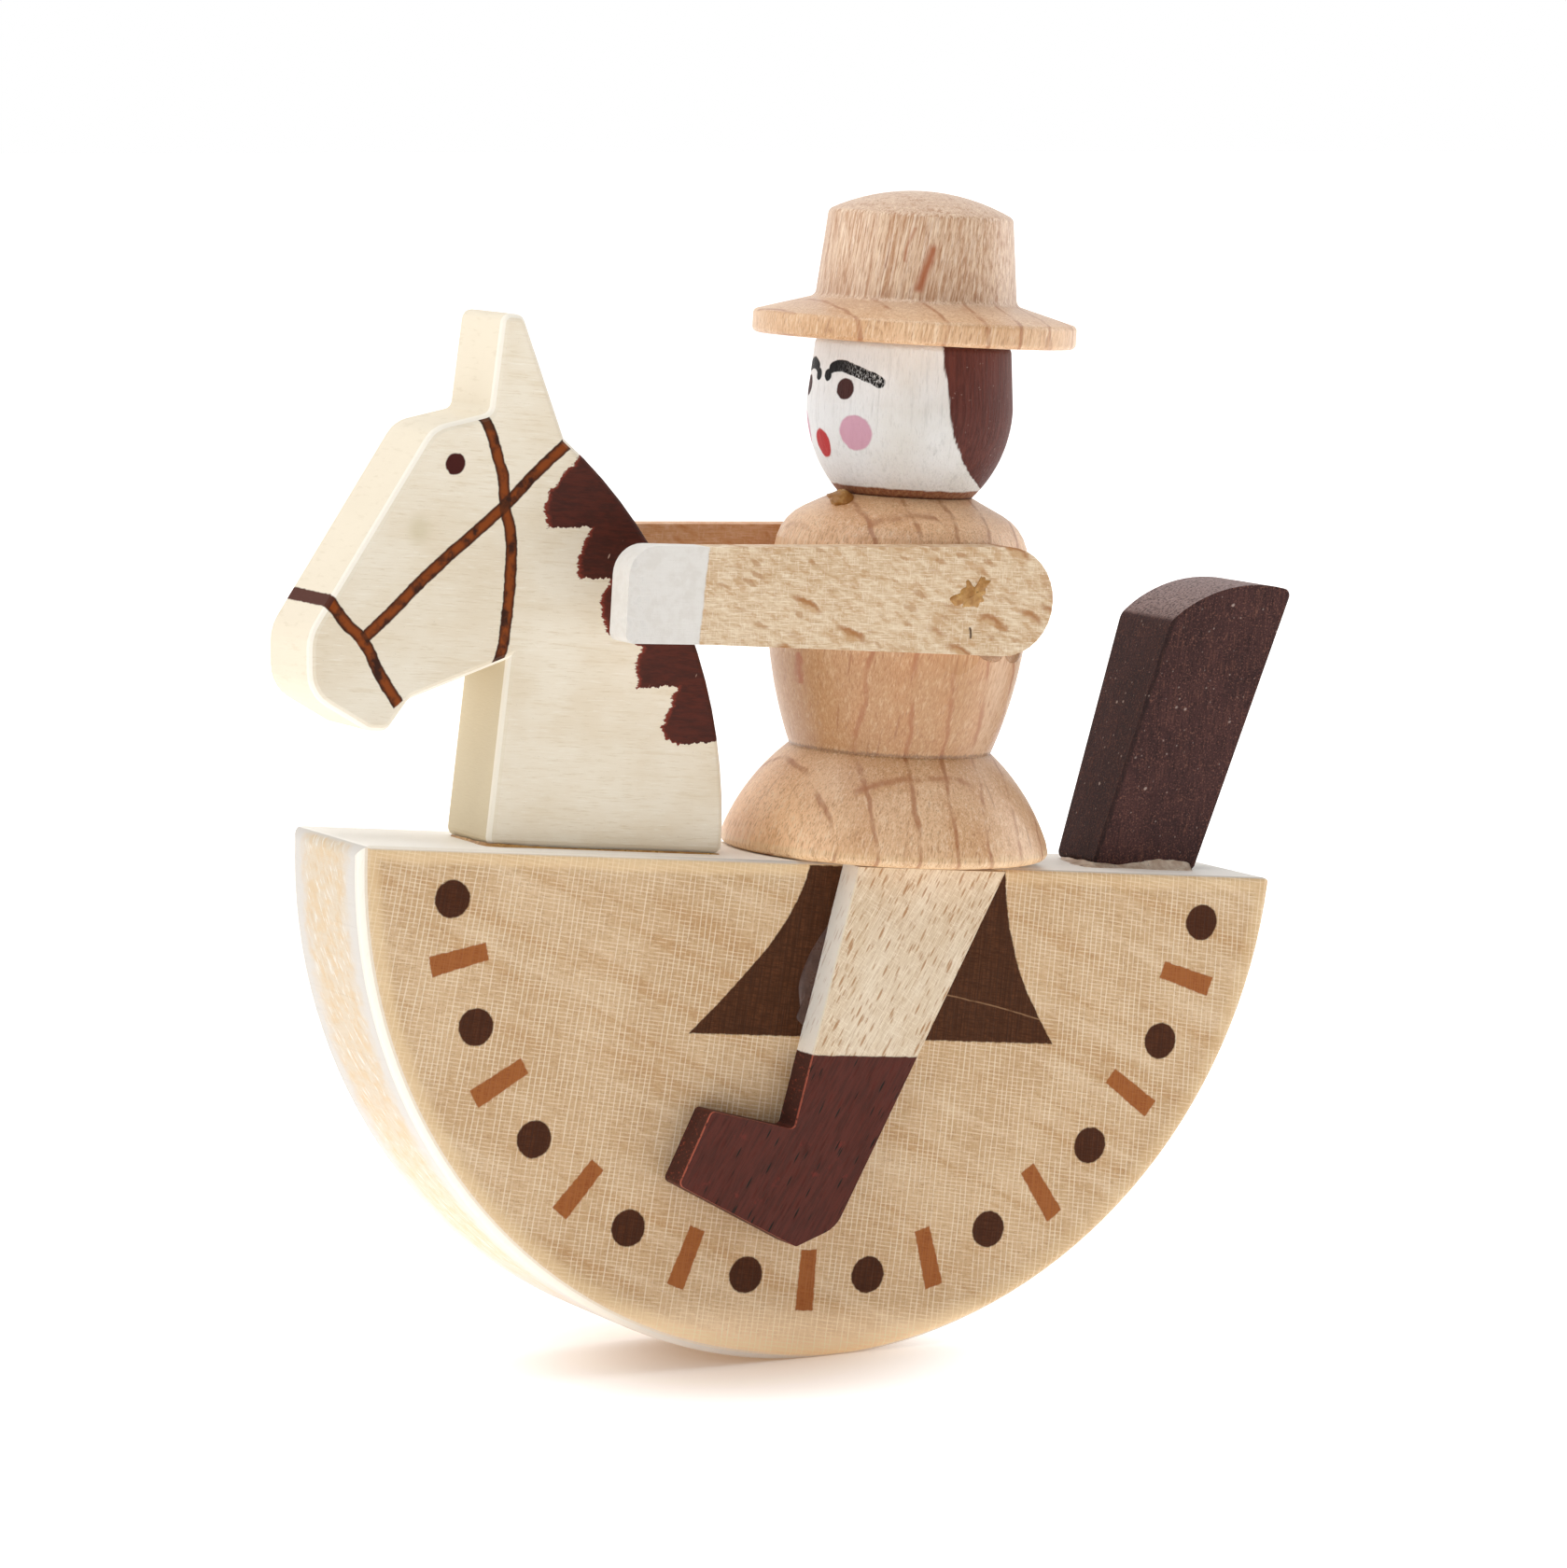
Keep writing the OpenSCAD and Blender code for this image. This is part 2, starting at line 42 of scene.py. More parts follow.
# Board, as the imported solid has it
ROCKER_R = 48.0
ROCKER_THICK = 15.0
BOARD_TOP = 46.4
REST_TILT = 5.0
REST_FLAT_W = 10.0
REST_FLAT_RISE = ROCKER_R - math.sqrt(ROCKER_R ** 2 - (REST_FLAT_W / 2) ** 2)

# Rider, seated on the board
SEAT_X = 9.25
SEAT_Z = 46.934
RIDER_LEAN = 2.0
HEAD_FOOT = 33.2
HEAD_R = 9.3
HAND_H = 24.6

# Horse and tail
HORSE_THICK = 9.1
NECK_FRONT_X = -34.07
TAIL_FOOT_THICK = 6.4
TAIL_FRONT_X = 30.17
TAIL_LEAN = 13.07

# The board's own frame has its curved edge's lowest point at the origin and the board level.
BOARD_TO_ROW = (
    Matrix.Translation((0, 0, ROCKER_R - REST_FLAT_RISE))
    @ Matrix.Rotation(math.radians(REST_TILT), 4, "Y")
    @ Matrix.Translation((0, 0, -ROCKER_R))
)
# The rider's own frame has the middle of the skirt's foot at the origin and the turning axis along Z.
RIDER_TO_ROW = (
    BOARD_TO_ROW
    @ Matrix.Translation((SEAT_X, 0, SEAT_Z))
    @ Matrix.Rotation(math.radians(-RIDER_LEAN), 4, "Y")
)


def rgb(red, green, blue):
    """A colour from 0 to 255 as it shows on a screen, turned to linear light."""
    linear = []
    for channel in (red, green, blue):
        share = channel / 255
        linear.append(share / 12.92 if share <= 0.04045 else ((share + 0.055) / 1.055) ** 2.4)
    return (*linear, 1.0)


class Value:
    """A number from a node. Arithmetic with it adds more nodes."""

    def __init__(self, paint, socket):
        self.paint = paint
        self.socket = socket

    def __add__(self, other):
        return self.paint.math("ADD", self, other)

    def __sub__(self, other):
        return self.paint.math("SUBTRACT", self, other)

    def __rsub__(self, other):
        return self.paint.math("SUBTRACT", other, self)

    def __mul__(self, other):
        return self.paint.math("MULTIPLY", self, other)

    def __truediv__(self, other):
        return self.paint.math("DIVIDE", self, other)

    def __abs__(self):
        return self.paint.math("ABSOLUTE", self)

    __radd__ = __add__


class Nodes:
    """A node tree that is built from Values, sockets and plain numbers."""

    def __init__(self, tree):
        self.tree = tree

    def node(self, kind, **settings):
        made = self.tree.nodes.new(kind)
        for name, value in settings.items():
            setattr(made, name, value)
        return made

    def put(self, socket, value):
        if isinstance(value, Value):
            value = value.socket
        if isinstance(value, bpy.types.NodeSocket):
            self.tree.links.new(value, socket)
        else:
            socket.default_value = value

    def fill(self, made, **values):
        """Gives a node's inputs their values, by their names with _ for each space."""
        for name, value in values.items():
            self.put(made.inputs[name.replace("_", " ")], value)


# Numbers that the materials share
SWAY_GAIN = 2.5
FLECK_SCATTER = 0.9
FLECK_EDGE = (0.34, 0.16)
COAT_ROUGH = 0.25


class Paint(Nodes):
    """The node tree of one material.

    A colour is a socket, three numbers from 0 to 255, or four numbers of linear light.
    """

    def __init__(self, name):
        self.material = bpy.data.materials.new(name)
        self.material.use_nodes = True
        super().__init__(self.material.node_tree)
        self.tree.nodes.clear()
        self.shader = self.node("ShaderNodeBsdfPrincipled")
        self.fill(self.node("ShaderNodeOutputMaterial"), Surface=self.shader.outputs["BSDF"])
        self.position = self.node("ShaderNodeTexCoord")
        self.at = None

    def math(self, operation, *values, clamp=False):
        made = self.node("ShaderNodeMath", operation=operation, use_clamp=clamp)
        for socket, value in zip(made.inputs, values):
            self.put(socket, value)
        return Value(self, made.outputs[0])

    def most(self, first, *others):
        for other in others:
            first = self.math("MAXIMUM", first, other)
        return first

    def length(self, across, up):
        return self.math("SQRT", across * across + up * up)

    def locate(self, matrix):
        """The surface's x, y and z in millimetres, in the frame that the matrix carries to the row's."""
        back = matrix.inverted()
        made = self.node("ShaderNodeMapping", vector_type="POINT")
        self.fill(made, Vector=self.position.outputs["Object"], Scale=(1 / MM, 1 / MM, 1 / MM))
        self.fill(made, Location=back.translation, Rotation=back.to_euler())
        self.at = made.outputs["Vector"]
        return self.split(self.at)

    def split(self, vector):
        made = self.node("ShaderNodeSeparateXYZ")
        self.put(made.inputs[0], vector)
        return [Value(self, socket) for socket in made.outputs]

    def join(self, x, y, z):
        made = self.node("ShaderNodeCombineXYZ")
        self.fill(made, X=x, Y=y, Z=z)
        return made.outputs[0]

    def turned(self, u, v, angle):
        """Two coordinates turned so that the first runs along the angle."""
        cosine = math.cos(math.radians(angle))
        sine = math.sin(math.radians(angle))
        return u * cosine + v * sine, v * cosine - u * sine

    def noise(self, cell, detail=3, rough=0.6, at=None):
        """Noise from 0 to 1 at the located place, or at another.

        Its cells are so many millimetres long, on all axes or on each.
        """
        scale = self.node("ShaderNodeVectorMath", operation="DIVIDE")
        self.put(scale.inputs[0], at or self.at)
        self.put(scale.inputs[1], cell if isinstance(cell, tuple) else (cell, cell, cell))
        made = self.node("ShaderNodeTexNoise", noise_dimensions="3D")
        self.fill(made, Vector=scale.outputs[0], Scale=1.0, Detail=detail, Roughness=rough)
        return Value(self, made.outputs["Fac"])

    def sway(self, cell, reach, detail=2):
        """Noise that moves a line by up to about the reach to either side."""
        return (self.noise(cell, detail, 0.5) - 0.5) * (SWAY_GAIN * reach)

    def rise(self, value, low, high):
        """0 up to low, 1 from high, and eased between; low above high turns it round."""
        made = self.node("ShaderNodeMapRange", interpolation_type="SMOOTHSTEP")
        self.fill(made, Value=value, From_Min=low, From_Max=high)
        return Value(self, made.outputs["Result"])

    def above(self, value, limit, soft):
        return self.rise(value, limit - soft, limit + soft)

    def below(self, value, limit, soft):
        return self.rise(value, limit + soft, limit - soft)

    def within(self, value, low, high, soft):
        return self.above(value, low, soft) * self.below(value, high, soft)

    def spot(self, u, v, centre, radii, soft):
        """An ellipse; soft is a share of its radius."""
        across = (u - centre[0]) / radii[0]
        up = (v - centre[1]) / radii[1]
        return self.below(self.length(across, up), 1, soft)

    def profile(self, value, points, handles="AUTO"):
        """A smooth or, with VECTOR handles, an angular curve through points (value, result)."""
        lows = [min(point[axis] for point in points) for axis in (0, 1)]
        spans = [max(point[axis] for point in points) - lows[axis] for axis in (0, 1)]
        # A smooth curve may reach a little past its points, so there is room below and above.
        lows[1] -= 0.1 * spans[1] + 0.1
        spans[1] = 1.2 * spans[1] + 0.2
        made = self.node("ShaderNodeFloatCurve")
        curve = made.mapping.curves[0]
        scaled = [((x - lows[0]) / spans[0], (y - lows[1]) / spans[1]) for x, y in sorted(points)]
        curve.points[0].location = scaled[0]
        curve.points[1].location = scaled[-1]
        for point in scaled[1:-1]:
            curve.points.new(*point)
        for point in curve.points:
            point.handle_type = handles
        made.mapping.update()
        self.fill(made, Value=self.math("DIVIDE", value - lows[0], spans[0], clamp=True))
        return Value(self, made.outputs["Value"]) * spans[1] + lows[1]

    def stripe(self, u, v, points, half_width, soft, extra=0.0, round_ends=False):
        """A painted stripe along points in u and v, and the distance from its middle line.

        extra lengthens it at the first point.
        """
        start, end = Vector(points[0]), Vector(points[-1])
        run = end - start
        angle = math.degrees(math.atan2(run.y, run.x))
        direction = run.normalized()
        bend = []
        for point in points:
            step = Vector(point) - start
            bend.append((step.dot(direction), step.y * direction.x - step.x * direction.y))
        along, across = self.turned(u - start.x, v - start.y, angle)
        distance = abs(across - self.profile(along, bend))
        mask = self.below(distance, half_width, soft) * self.within(along, -extra, run.length, soft)
        if round_ends:
            radii = (half_width, half_width)
            for end_point in (points[0], points[-1]):
                mask = self.most(mask, self.spot(u, v, end_point, radii, soft / half_width))
        return mask, distance

    def flecks(self, u, v, size, angle, share, depth=0.0):
        """Small lens-shaped marks at random places; share is how many of the cells hold one."""
        along, across = self.turned(u, v, angle)
        made = self.node("ShaderNodeTexVoronoi", voronoi_dimensions="3D", feature="F1")
        scaled = self.join(along / size[0], across / size[1], depth)
        self.fill(made, Vector=scaled, Scale=1.0, Randomness=FLECK_SCATTER)
        chance = self.node("ShaderNodeSeparateColor")
        self.put(chance.inputs[0], made.outputs["Color"])
        held = self.rise(chance.outputs[0], 1 - share, 1 - 0.9 * share)
        return self.rise(made.outputs["Distance"], *FLECK_EDGE) * held

    def mix(self, below, above, factor):
        made = self.node("ShaderNodeMix", data_type="RGBA")
        self.fill(made, Factor=factor)
        for socket, colour in zip((made.inputs[6], made.inputs[7]), (below, above)):
            on_screen = isinstance(colour, tuple) and len(colour) == 3
            self.put(socket, rgb(*colour) if on_screen else colour)
        return made.outputs[2]

    def tints(self, tone, *rows):
        """Lays colours over a tone, one after another; each row is (red, green, blue, factor)."""
        for *colour, factor in rows:
            tone = self.mix(tone, tuple(colour), factor)
        return tone

    def shade(self, colour, mask, strength):
        """Darkens a colour where the mask is 1; a strength below 0 makes it paler."""
        made = self.node("ShaderNodeVectorMath", operation="SCALE")
        self.put(made.inputs[0], colour)
        self.fill(made, Scale=1.0 - mask * strength)
        return made.outputs[0]

    def facing(self, axis):
        """How squarely the surface faces along an axis of the row frame, to either side."""
        parts = self.split(self.position.outputs["Normal"])
        return abs(parts["XYZ".index(axis)])

    def finish(self, colour, roughness, height, depth=0.05, gloss=0.12, coat=0.0):
        """Wires the surface up; height is in shares of the depth, which is in millimetres."""
        bump = self.node("ShaderNodeBump")
        self.fill(bump, Height=height, Distance=depth * MM)
        self.fill(self.shader, Base_Color=colour, Roughness=roughness, Normal=bump.outputs["Normal"])
        self.fill(self.shader, Specular_IOR_Level=gloss, Coat_Weight=coat, Coat_Roughness=COAT_ROUGH)
        return self.material


# Marks on the board's faces: a ring of dots, a ring of bars between them, and a saddle
PRINT_CENTRE = (0.87, 47.4)
PRINT_R = 39.8
DOT_ANGLES = (9.3, 28.5, 47.4, 64.9, 82.1)
DOT_R = 1.72
BAR_ANGLES = (0.0, 18.7, 37.8, 56.7, 74.2)
BAR_W = 1.75
BAR_LEN = 5.7
# The saddle's front and rear edges as (z, x), and its lower edge as (x, z)
SADDLE_FRONT = [(46.2, -2.62), (43.76, -3.27), (39.49, -5.53), (35.6, -8.7), (30.0, -14.0)]
SADDLE_REAR = [
    (46.2, 18.2), (42.21, 18.87), (39.47, 19.7), (36.31, 20.97), (33.25, 22.78), (30.0, 25.05),
]
SADDLE_BOTTOM = [(-14.0, 30.35), (25.0, 30.0)]
SADDLE_TOP = 46.1
# A fine scratch across the saddle, as (x, z)
SADDLE_SCRATCH = [(13.1, 34.4), (18.5, 33.4), (24.2, 32.1)]
# Half the width over which an edge of the print fades
PRINT_SOFT = 0.09
BAR_SOFT = 0.08
SADDLE_TOP_SOFT = 0.1


def nearest(g, value, centres):
    """The distance from a value to the nearest of some centres."""
    gap = abs(value - centres[0])
    for centre in centres[1:]:
        gap = g.math("MINIMUM", gap, abs(value - centre))
    return gap


def board_print(g, x, z, ragged):
    """Masks of the ring of dots, the ring of bars and the saddle."""
    across = x - PRINT_CENTRE[0]
    down = PRINT_CENTRE[1] - z
    radius = g.length(across, down)
    from_down = g.math("ARCTAN2", abs(across), down) * (180 / math.pi)
    radial = radius - PRINT_R
    arc_per_degree = PRINT_R * math.pi / 180

    dot_gap = nearest(g, from_down, DOT_ANGLES) * arc_per_degree
    dots = g.below(g.length(dot_gap, radial) + ragged, DOT_R, PRINT_SOFT)
    bar_gap = nearest(g, from_down, BAR_ANGLES) * arc_per_degree
    bars = g.below(bar_gap + ragged, BAR_W / 2, BAR_SOFT)
    bars = bars * g.below(abs(radial) + ragged, BAR_LEN / 2, BAR_SOFT)
    saddle = (
        g.above(x - g.profile(z, SADDLE_FRONT) + ragged, 0, PRINT_SOFT)
        * g.below(x - g.profile(z, SADDLE_REAR) + ragged, 0, PRINT_SOFT)
        * g.above(z - g.profile(x, SADDLE_BOTTOM) + ragged, 0, PRINT_SOFT)
        * g.below(z + ragged, SADDLE_TOP, SADDLE_TOP_SOFT)
    )
    return dots, bars, saddle


# Saw marks on the board's faces. The pale threads lean towards the tail, most at the board's front.
THREAD_STEP = 0.56
THREAD_LEAN = 0.045
THREAD_FAN = 0.0017
THREAD_LEVEL = 20.0
ROW_STEP = 0.36
ROW_LEAN = 0.1
SLANT_ANGLE = -24
END_GRAIN_ANGLE = 60
# Where the board's tones change: in x or z, or in millimetres from a rim or from the edge's middle
CARRIED_X = (-6, 8)
RIM_W = (2.6, 1.3)
TOP_RIM_W = (1.8, 1.0)
RIM_PALE_X = (0, 30)
# Painted light from the floor: the face grows paler towards its foot between these heights
FLOOR_LIGHT_Z = (6.5, 2.5)
EDGE_MIDDLE_W = (5.8, 2.8)
# Painted shade: the curved edge darkens between these heights towards the top
EDGE_SHADE_Z = (8, 26)
# Painted light: the heights over which the board's top turns near white
TOP_LIGHT_Z = (40, 45)
# Painted highlight: where the arris line grows towards the board's front
ARRIS_HIGHLIGHT_X = (-6, -24)


def board_maple():
    g = Paint("board_maple")
    x, y, z = g.locate(BOARD_TO_ROW)
    flat = g.facing("Y")
    # The face's colour runs over the rounding of the rear rim.
    carried = g.rise(x, *CARRIED_X) * 0.25
    face = g.rise(flat + carried, 0.9, 0.99)

    u = x - (z - THREAD_LEVEL) * (THREAD_LEAN - x * THREAD_FAN)
    swayed_u = u + g.sway((3, 30, 12), 0.22)
    comb = g.math("FRACT", swayed_u / THREAD_STEP) - 0.5
    comb = g.rise(abs(comb), 0.16, 0.05)
    dashed = g.rise(g.noise((0.5, 30, 4.5), at=g.join(u, y, z)), 0.34, 0.58)
    threads = g.noise((0.13, 20, 3.2), 3, 0.65, at=g.join(u, y, z))
    fallen = z + x * ROW_LEAN + g.sway((8, 30, 3), 0.15)
    weft = g.math("FRACT", fallen / ROW_STEP) - 0.5
    weft = g.rise(abs(weft), 0.24, 0.07)
    woven = g.rise(g.noise((1.4, 30, 0.4), at=g.join(x, y, fallen)), 0.36, 0.58)
    rows = g.noise((0.9, 20, 0.12), 3, 0.65, at=g.join(x, y, fallen))
    slope_along, slope_across = g.turned(x, z, SLANT_ANGLE)
    slant = g.noise((22, 3, 1.5), 3, 0.55, at=g.join(slope_along, y, slope_across))
    blotch = g.noise((9, 30, 11), 3, 0.55)
    speck = g.noise((0.12, 0.12, 0.14), 2, 0.6)

    tone = g.tints(
        (215, 184, 146),
        (202, 168, 128, g.rise(blotch, 0.34, 0.68)),
        (190, 146, 98, g.rise(slant, 0.53, 0.66) * 0.5),
        (232, 207, 174, g.rise(slant, 0.46, 0.3) * 0.4),
        (168, 126, 84, g.rise(rows, 0.48, 0.32) * 0.42),
        (178, 138, 96, g.rise(threads, 0.47, 0.32) * 0.3),
        (240, 220, 190, weft * woven * 0.55),
        (246, 230, 205, comb * dashed * 0.62),
        (146, 102, 64, g.rise(speck, 0.42, 0.26) * 0.45),
    )

    from_rim = ROCKER_R - g.length(x, z - ROCKER_R)
    from_top = BOARD_TOP - z
    rim_sway = g.sway(5, 0.4)
    rim = g.most(g.rise(from_rim + rim_sway, *RIM_W), g.rise(from_top + rim_sway, *TOP_RIM_W))
    tone = g.mix(tone, (242, 214, 170), rim * (0.55 - g.rise(x, *RIM_PALE_X) * 0.25))
    # Painted light from the floor: the face grows paler and brighter towards its foot.
    low = g.rise(z, *FLOOR_LIGHT_Z)
    tone = g.shade(g.mix(tone, (250, 226, 190), low * 0.45), low, -0.22)

    ragged = g.sway(0.45, 0.09, 3)
    dots, bars, saddle = board_print(g, x, z, ragged)
    worn = g.rise(g.noise((0.25, 2, 1.2), 4, 0.7), 0.16, 0.3)
    ink_grain = g.rise(threads, 0.35, 0.65) * g.rise(rows, 0.3, 0.7)
    bar_ink = g.mix((162, 96, 48), (140, 74, 32), ink_grain)
    dot_ink = g.mix((60, 25, 8), (82, 40, 18), ink_grain)
    saddle_ink = g.mix((60, 27, 7), (92, 52, 28), ink_grain)
    scratch = g.stripe(x + g.sway(3, 0.4), z, SADDLE_SCRATCH, 0.06, 0.05)[0]
    scratch = scratch * g.rise(g.noise(1.2, 2, 0.5), 0.2, 0.5)
    saddle_ink = g.mix(saddle_ink, (168, 130, 96), scratch * 0.6)
    tone = g.mix(tone, bar_ink, bars * face * worn * 0.97)
    tone = g.mix(tone, dot_ink, dots * face * 0.98)
    tone = g.mix(tone, saddle_ink, saddle * face * 0.98)

    # The curved edge is mottled in its middle, where the end grain shows, and pale along its sides.
    comb_along, comb_across = g.turned(y, z, END_GRAIN_ANGLE)
    streaks = g.noise((3, 1.8, 0.35), 3, 0.65, at=g.join(x, comb_along, comb_across))
    patches = g.noise((1.6, 1.4, 1.2))
    middle = g.rise(abs(y) + g.sway(1.5, 0.8), *EDGE_MIDDLE_W) * g.rise(g.facing("Z"), 0.95, 0.7)
    edge = g.tints(
        (232, 226, 219),
        (235, 218, 194, middle),
        (236, 206, 164, middle * g.rise(patches, 0.42, 0.62) * 0.65),
        (250, 246, 238, middle * g.rise(streaks, 0.56, 0.66) * 0.8),
        (222, 188, 144, middle * g.rise(streaks, 0.44, 0.32) * 0.4),
    )
    edge = g.shade(edge, g.rise(speck, 0.34, 0.18), 0.1)
    # Painted shade: the curved edge darkens towards the top.
    edge = g.shade(edge, g.rise(z, *EDGE_SHADE_Z), 0.19)
    # Painted light: the board's top is near white.
    top_painted_light = g.rise(g.facing("Z"), 0.9, 0.97) * g.rise(z, *TOP_LIGHT_Z)
    edge = g.mix(edge, g.mix((255, 253, 248), (252, 246, 236), blotch), top_painted_light)
    # Painted highlight along the arris between the face and the front part of the curved edge.
    arris = g.rise(flat, 0.12, 0.4) * g.rise(flat, 0.97, 0.8) * g.rise(x, *ARRIS_HIGHLIGHT_X)
    edge = g.mix(edge, (250, 243, 230), arris)
    colour = g.mix(edge, tone, g.rise(flat + carried, 0.82, 0.985))

    printed = g.most(dots, bars, saddle) * face
    rough = threads * 0.16 + printed * 0.1 + 0.42
    height = threads * 0.5 + comb * dashed * 0.5 + rows * 0.5 + speck * 0.5
    return g.finish(colour, rough, height, 0.035, gloss=0.1)


# Painted marks on the horse, in the board's own frame, as (x, z)
EYE = (-40.4, 80.3)
EYE_R = 0.95
CHEEK_STRAP = [
    (-38.1, 84.6), (-37.0, 82.9), (-36.3, 81.1), (-35.5, 78.9), (-35.2, 76.9),
    (-34.4, 74.3), (-34.1, 71.0), (-34.1, 67.4), (-34.2, 64.8), (-34.6, 62.9),
]
SLANT_STRAP = [
    (-29.3, 82.9), (-31.8, 80.6), (-35.2, 76.9), (-38.5, 73.8),
    (-42.2, 70.3), (-45.5, 66.8), (-47.9, 64.4),
]
NOSE_STRAP = [(-51.0, 67.0), (-49.7, 65.6), (-47.9, 64.1), (-46.0, 61.2), (-44.0, 58.7)]
STRAP_W = 1.15
STRAP_SOFT = 0.07
STRAP_END_Z = (83.2, 83.7)
# The nose strap runs on over the front edge.
NOSE_EXTRA = 3.0
SMUDGE = (-43.4, 74.3)
SMUDGE_SIZE = (1.0, 1.1)
# The mane's front edge, tuft by tuft from the withers to the poll
MANE_EDGE = [
    (-12.5, 56.6), (-15.6, 56.2), (-17.2, 56.7), (-17.7, 57.7), (-17.1, 59.5), (-16.4, 61.65),
    (-20.5, 61.2), (-20.9, 63.1), (-20.3, 64.9), (-24.1, 66.0), (-24.6, 67.5), (-24.9, 69.0),
    (-24.1, 71.0), (-27.2, 70.75), (-27.7, 72.0), (-27.4, 73.4), (-26.5, 75.5),
    (-30.8, 75.1), (-31.3, 76.6), (-31.1, 78.3), (-29.2, 80.6), (-28.3, 81.8),
]
MANE_SLOPE = 0.14
# Where the cream paint looks different: painted light towards the ears, and painted shade on the throat
# under the head
FOREHEAD_LIGHT_Z = (66, 90)
THROAT_SHADE_Z = (64.1, 62.1)
THROAT_SHADE_X = (-38.0, -36.5)


def mane_masks(g, x, z):
    """The mane, its reddish fringe, and the strands in it."""
    steps = [(point[1] - MANE_SLOPE * point[0], point[0]) for point in MANE_EDGE]
    level = z + g.sway((0.3, 3, 2.2), 0.3, 3) - x * MANE_SLOPE
    combed = g.noise((1.8, 3, 0.34), 3, 0.7)
    edge = g.profile(level, steps, "VECTOR") + (combed - 0.45) * 1.5
    behind = x - edge
    lowest, highest = steps[0][0], steps[-1][0]
    rows = g.within(level + g.sway(0.6, 0.22, 3), lowest, highest, 0.08)
    mane = g.rise(behind, -0.06, 0.08) * rows
    fringe = g.rise(behind, 0.55, 0.1) * mane
    return mane, fringe, combed


def horse_paint():
    g = Paint("horse_paint")
    x, _, z = g.locate(BOARD_TO_ROW)
    flat = g.facing("Y")
    face = g.rise(flat, 0.7, 0.95)

    blotch = g.noise((9, 9, 7), 3, 0.55)
    streak = g.noise((5, 2, 0.4))
    fine = g.noise((1.6, 1, 0.13))
    speck = g.noise(0.16, 1, 0.5)
    tone = g.tints(
        (237, 228, 210),
        (229, 216, 193, g.rise(blotch, 0.35, 0.7)),
        (214, 196, 164, g.rise(streak, 0.46, 0.24) * 0.4),
        (206, 188, 156, g.rise(fine, 0.45, 0.26) * 0.45),
        (246, 240, 227, g.rise(fine, 0.56, 0.74) * 0.5),
    )
    tone = g.shade(tone, g.rise(speck, 0.3, 0.15), 0.16)
    # Painted light: the head grows paler towards the ears.
    tone = g.shade(tone, g.rise(z, *FOREHEAD_LIGHT_Z), -0.09)
    smudge = g.spot(x, z, SMUDGE, SMUDGE_SIZE, 0.8) * face
    tone = g.mix(tone, (206, 194, 160), smudge * 0.5)
    edge = g.mix((228, 216, 194), (236, 225, 204), blotch)
    edge = g.mix(edge, (214, 200, 174), g.rise(streak, 0.46, 0.28) * 0.4)
    # Painted shade on the neck's front strip under the head.
    throat_painted_shade = g.rise(z, *THROAT_SHADE_Z) * g.rise(x, *THROAT_SHADE_X)
    edge = g.mix(edge, g.mix((206, 190, 158), (216, 202, 172), fine), throat_painted_shade * 0.9)
    # Painted highlight along the rounded arrises of the cut-out.
    arris = g.rise(flat, 0.12, 0.4) * g.rise(flat, 0.99, 0.85)
    edge = g.mix(edge, (252, 247, 236), arris * 0.7)
    tone = g.mix(edge, tone, g.rise(flat, 0.82, 0.99))

    wobble = g.sway(0.7, 0.12, 3)
    half = STRAP_W / 2
    masks = []
    middles = []
    for points, extra in ((CHEEK_STRAP, 0.0), (SLANT_STRAP, 0.0), (NOSE_STRAP, NOSE_EXTRA)):
        mask, gap = g.stripe(x + wobble, z, points, half, STRAP_SOFT, extra)
        masks.append(mask)
        middles.append(g.rise(gap, half, half * 0.3))
    cheek, slant, nose = masks
    straps = g.most(cheek * face, slant * face, nose)
    crossing = g.most(cheek * slant, slant * nose)
    brushed = g.rise(g.noise((1.2, 2, 1.2), 3, 0.55), 0.3, 0.55)
    ink = g.mix((50, 16, 2), (142, 66, 10), g.most(*middles) * brushed * 0.85)
    strap_end = cheek * g.rise(z, *STRAP_END_Z)
    ink = g.shade(ink, g.most(crossing, strap_end), 0.55)
    ink = g.mix((76, 30, 14), ink, face)
    tone = g.mix(tone, ink, straps * 0.99)

    mane, fringe, combed = mane_masks(g, x, z)
    hair = g.mix((80, 24, 13), (60, 15, 9), g.rise(combed, 0.35, 0.65))
    hair = g.mix(hair, (150, 54, 38), fringe * 0.6)
    scratch = g.flecks(x, z, (0.9, 0.3), 70, 0.035)
    hair = g.mix(hair, (200, 164, 146), scratch * 0.7)
    tone = g.mix(tone, hair, mane * 0.98)

    eye = g.spot(x + wobble, z + wobble, EYE, (EYE_R, EYE_R), 0.08) * face
    tone = g.mix(tone, (70, 26, 22), eye)

    painted = g.most(mane, straps, eye)
    rough = painted * 0.06 + streak * 0.1 + 0.42
    height = streak * 0.3 + fine * 0.5 + painted * 0.6 + combed * mane * 0.5
    return g.finish(tone, rough, height, 0.03, gloss=0.12)


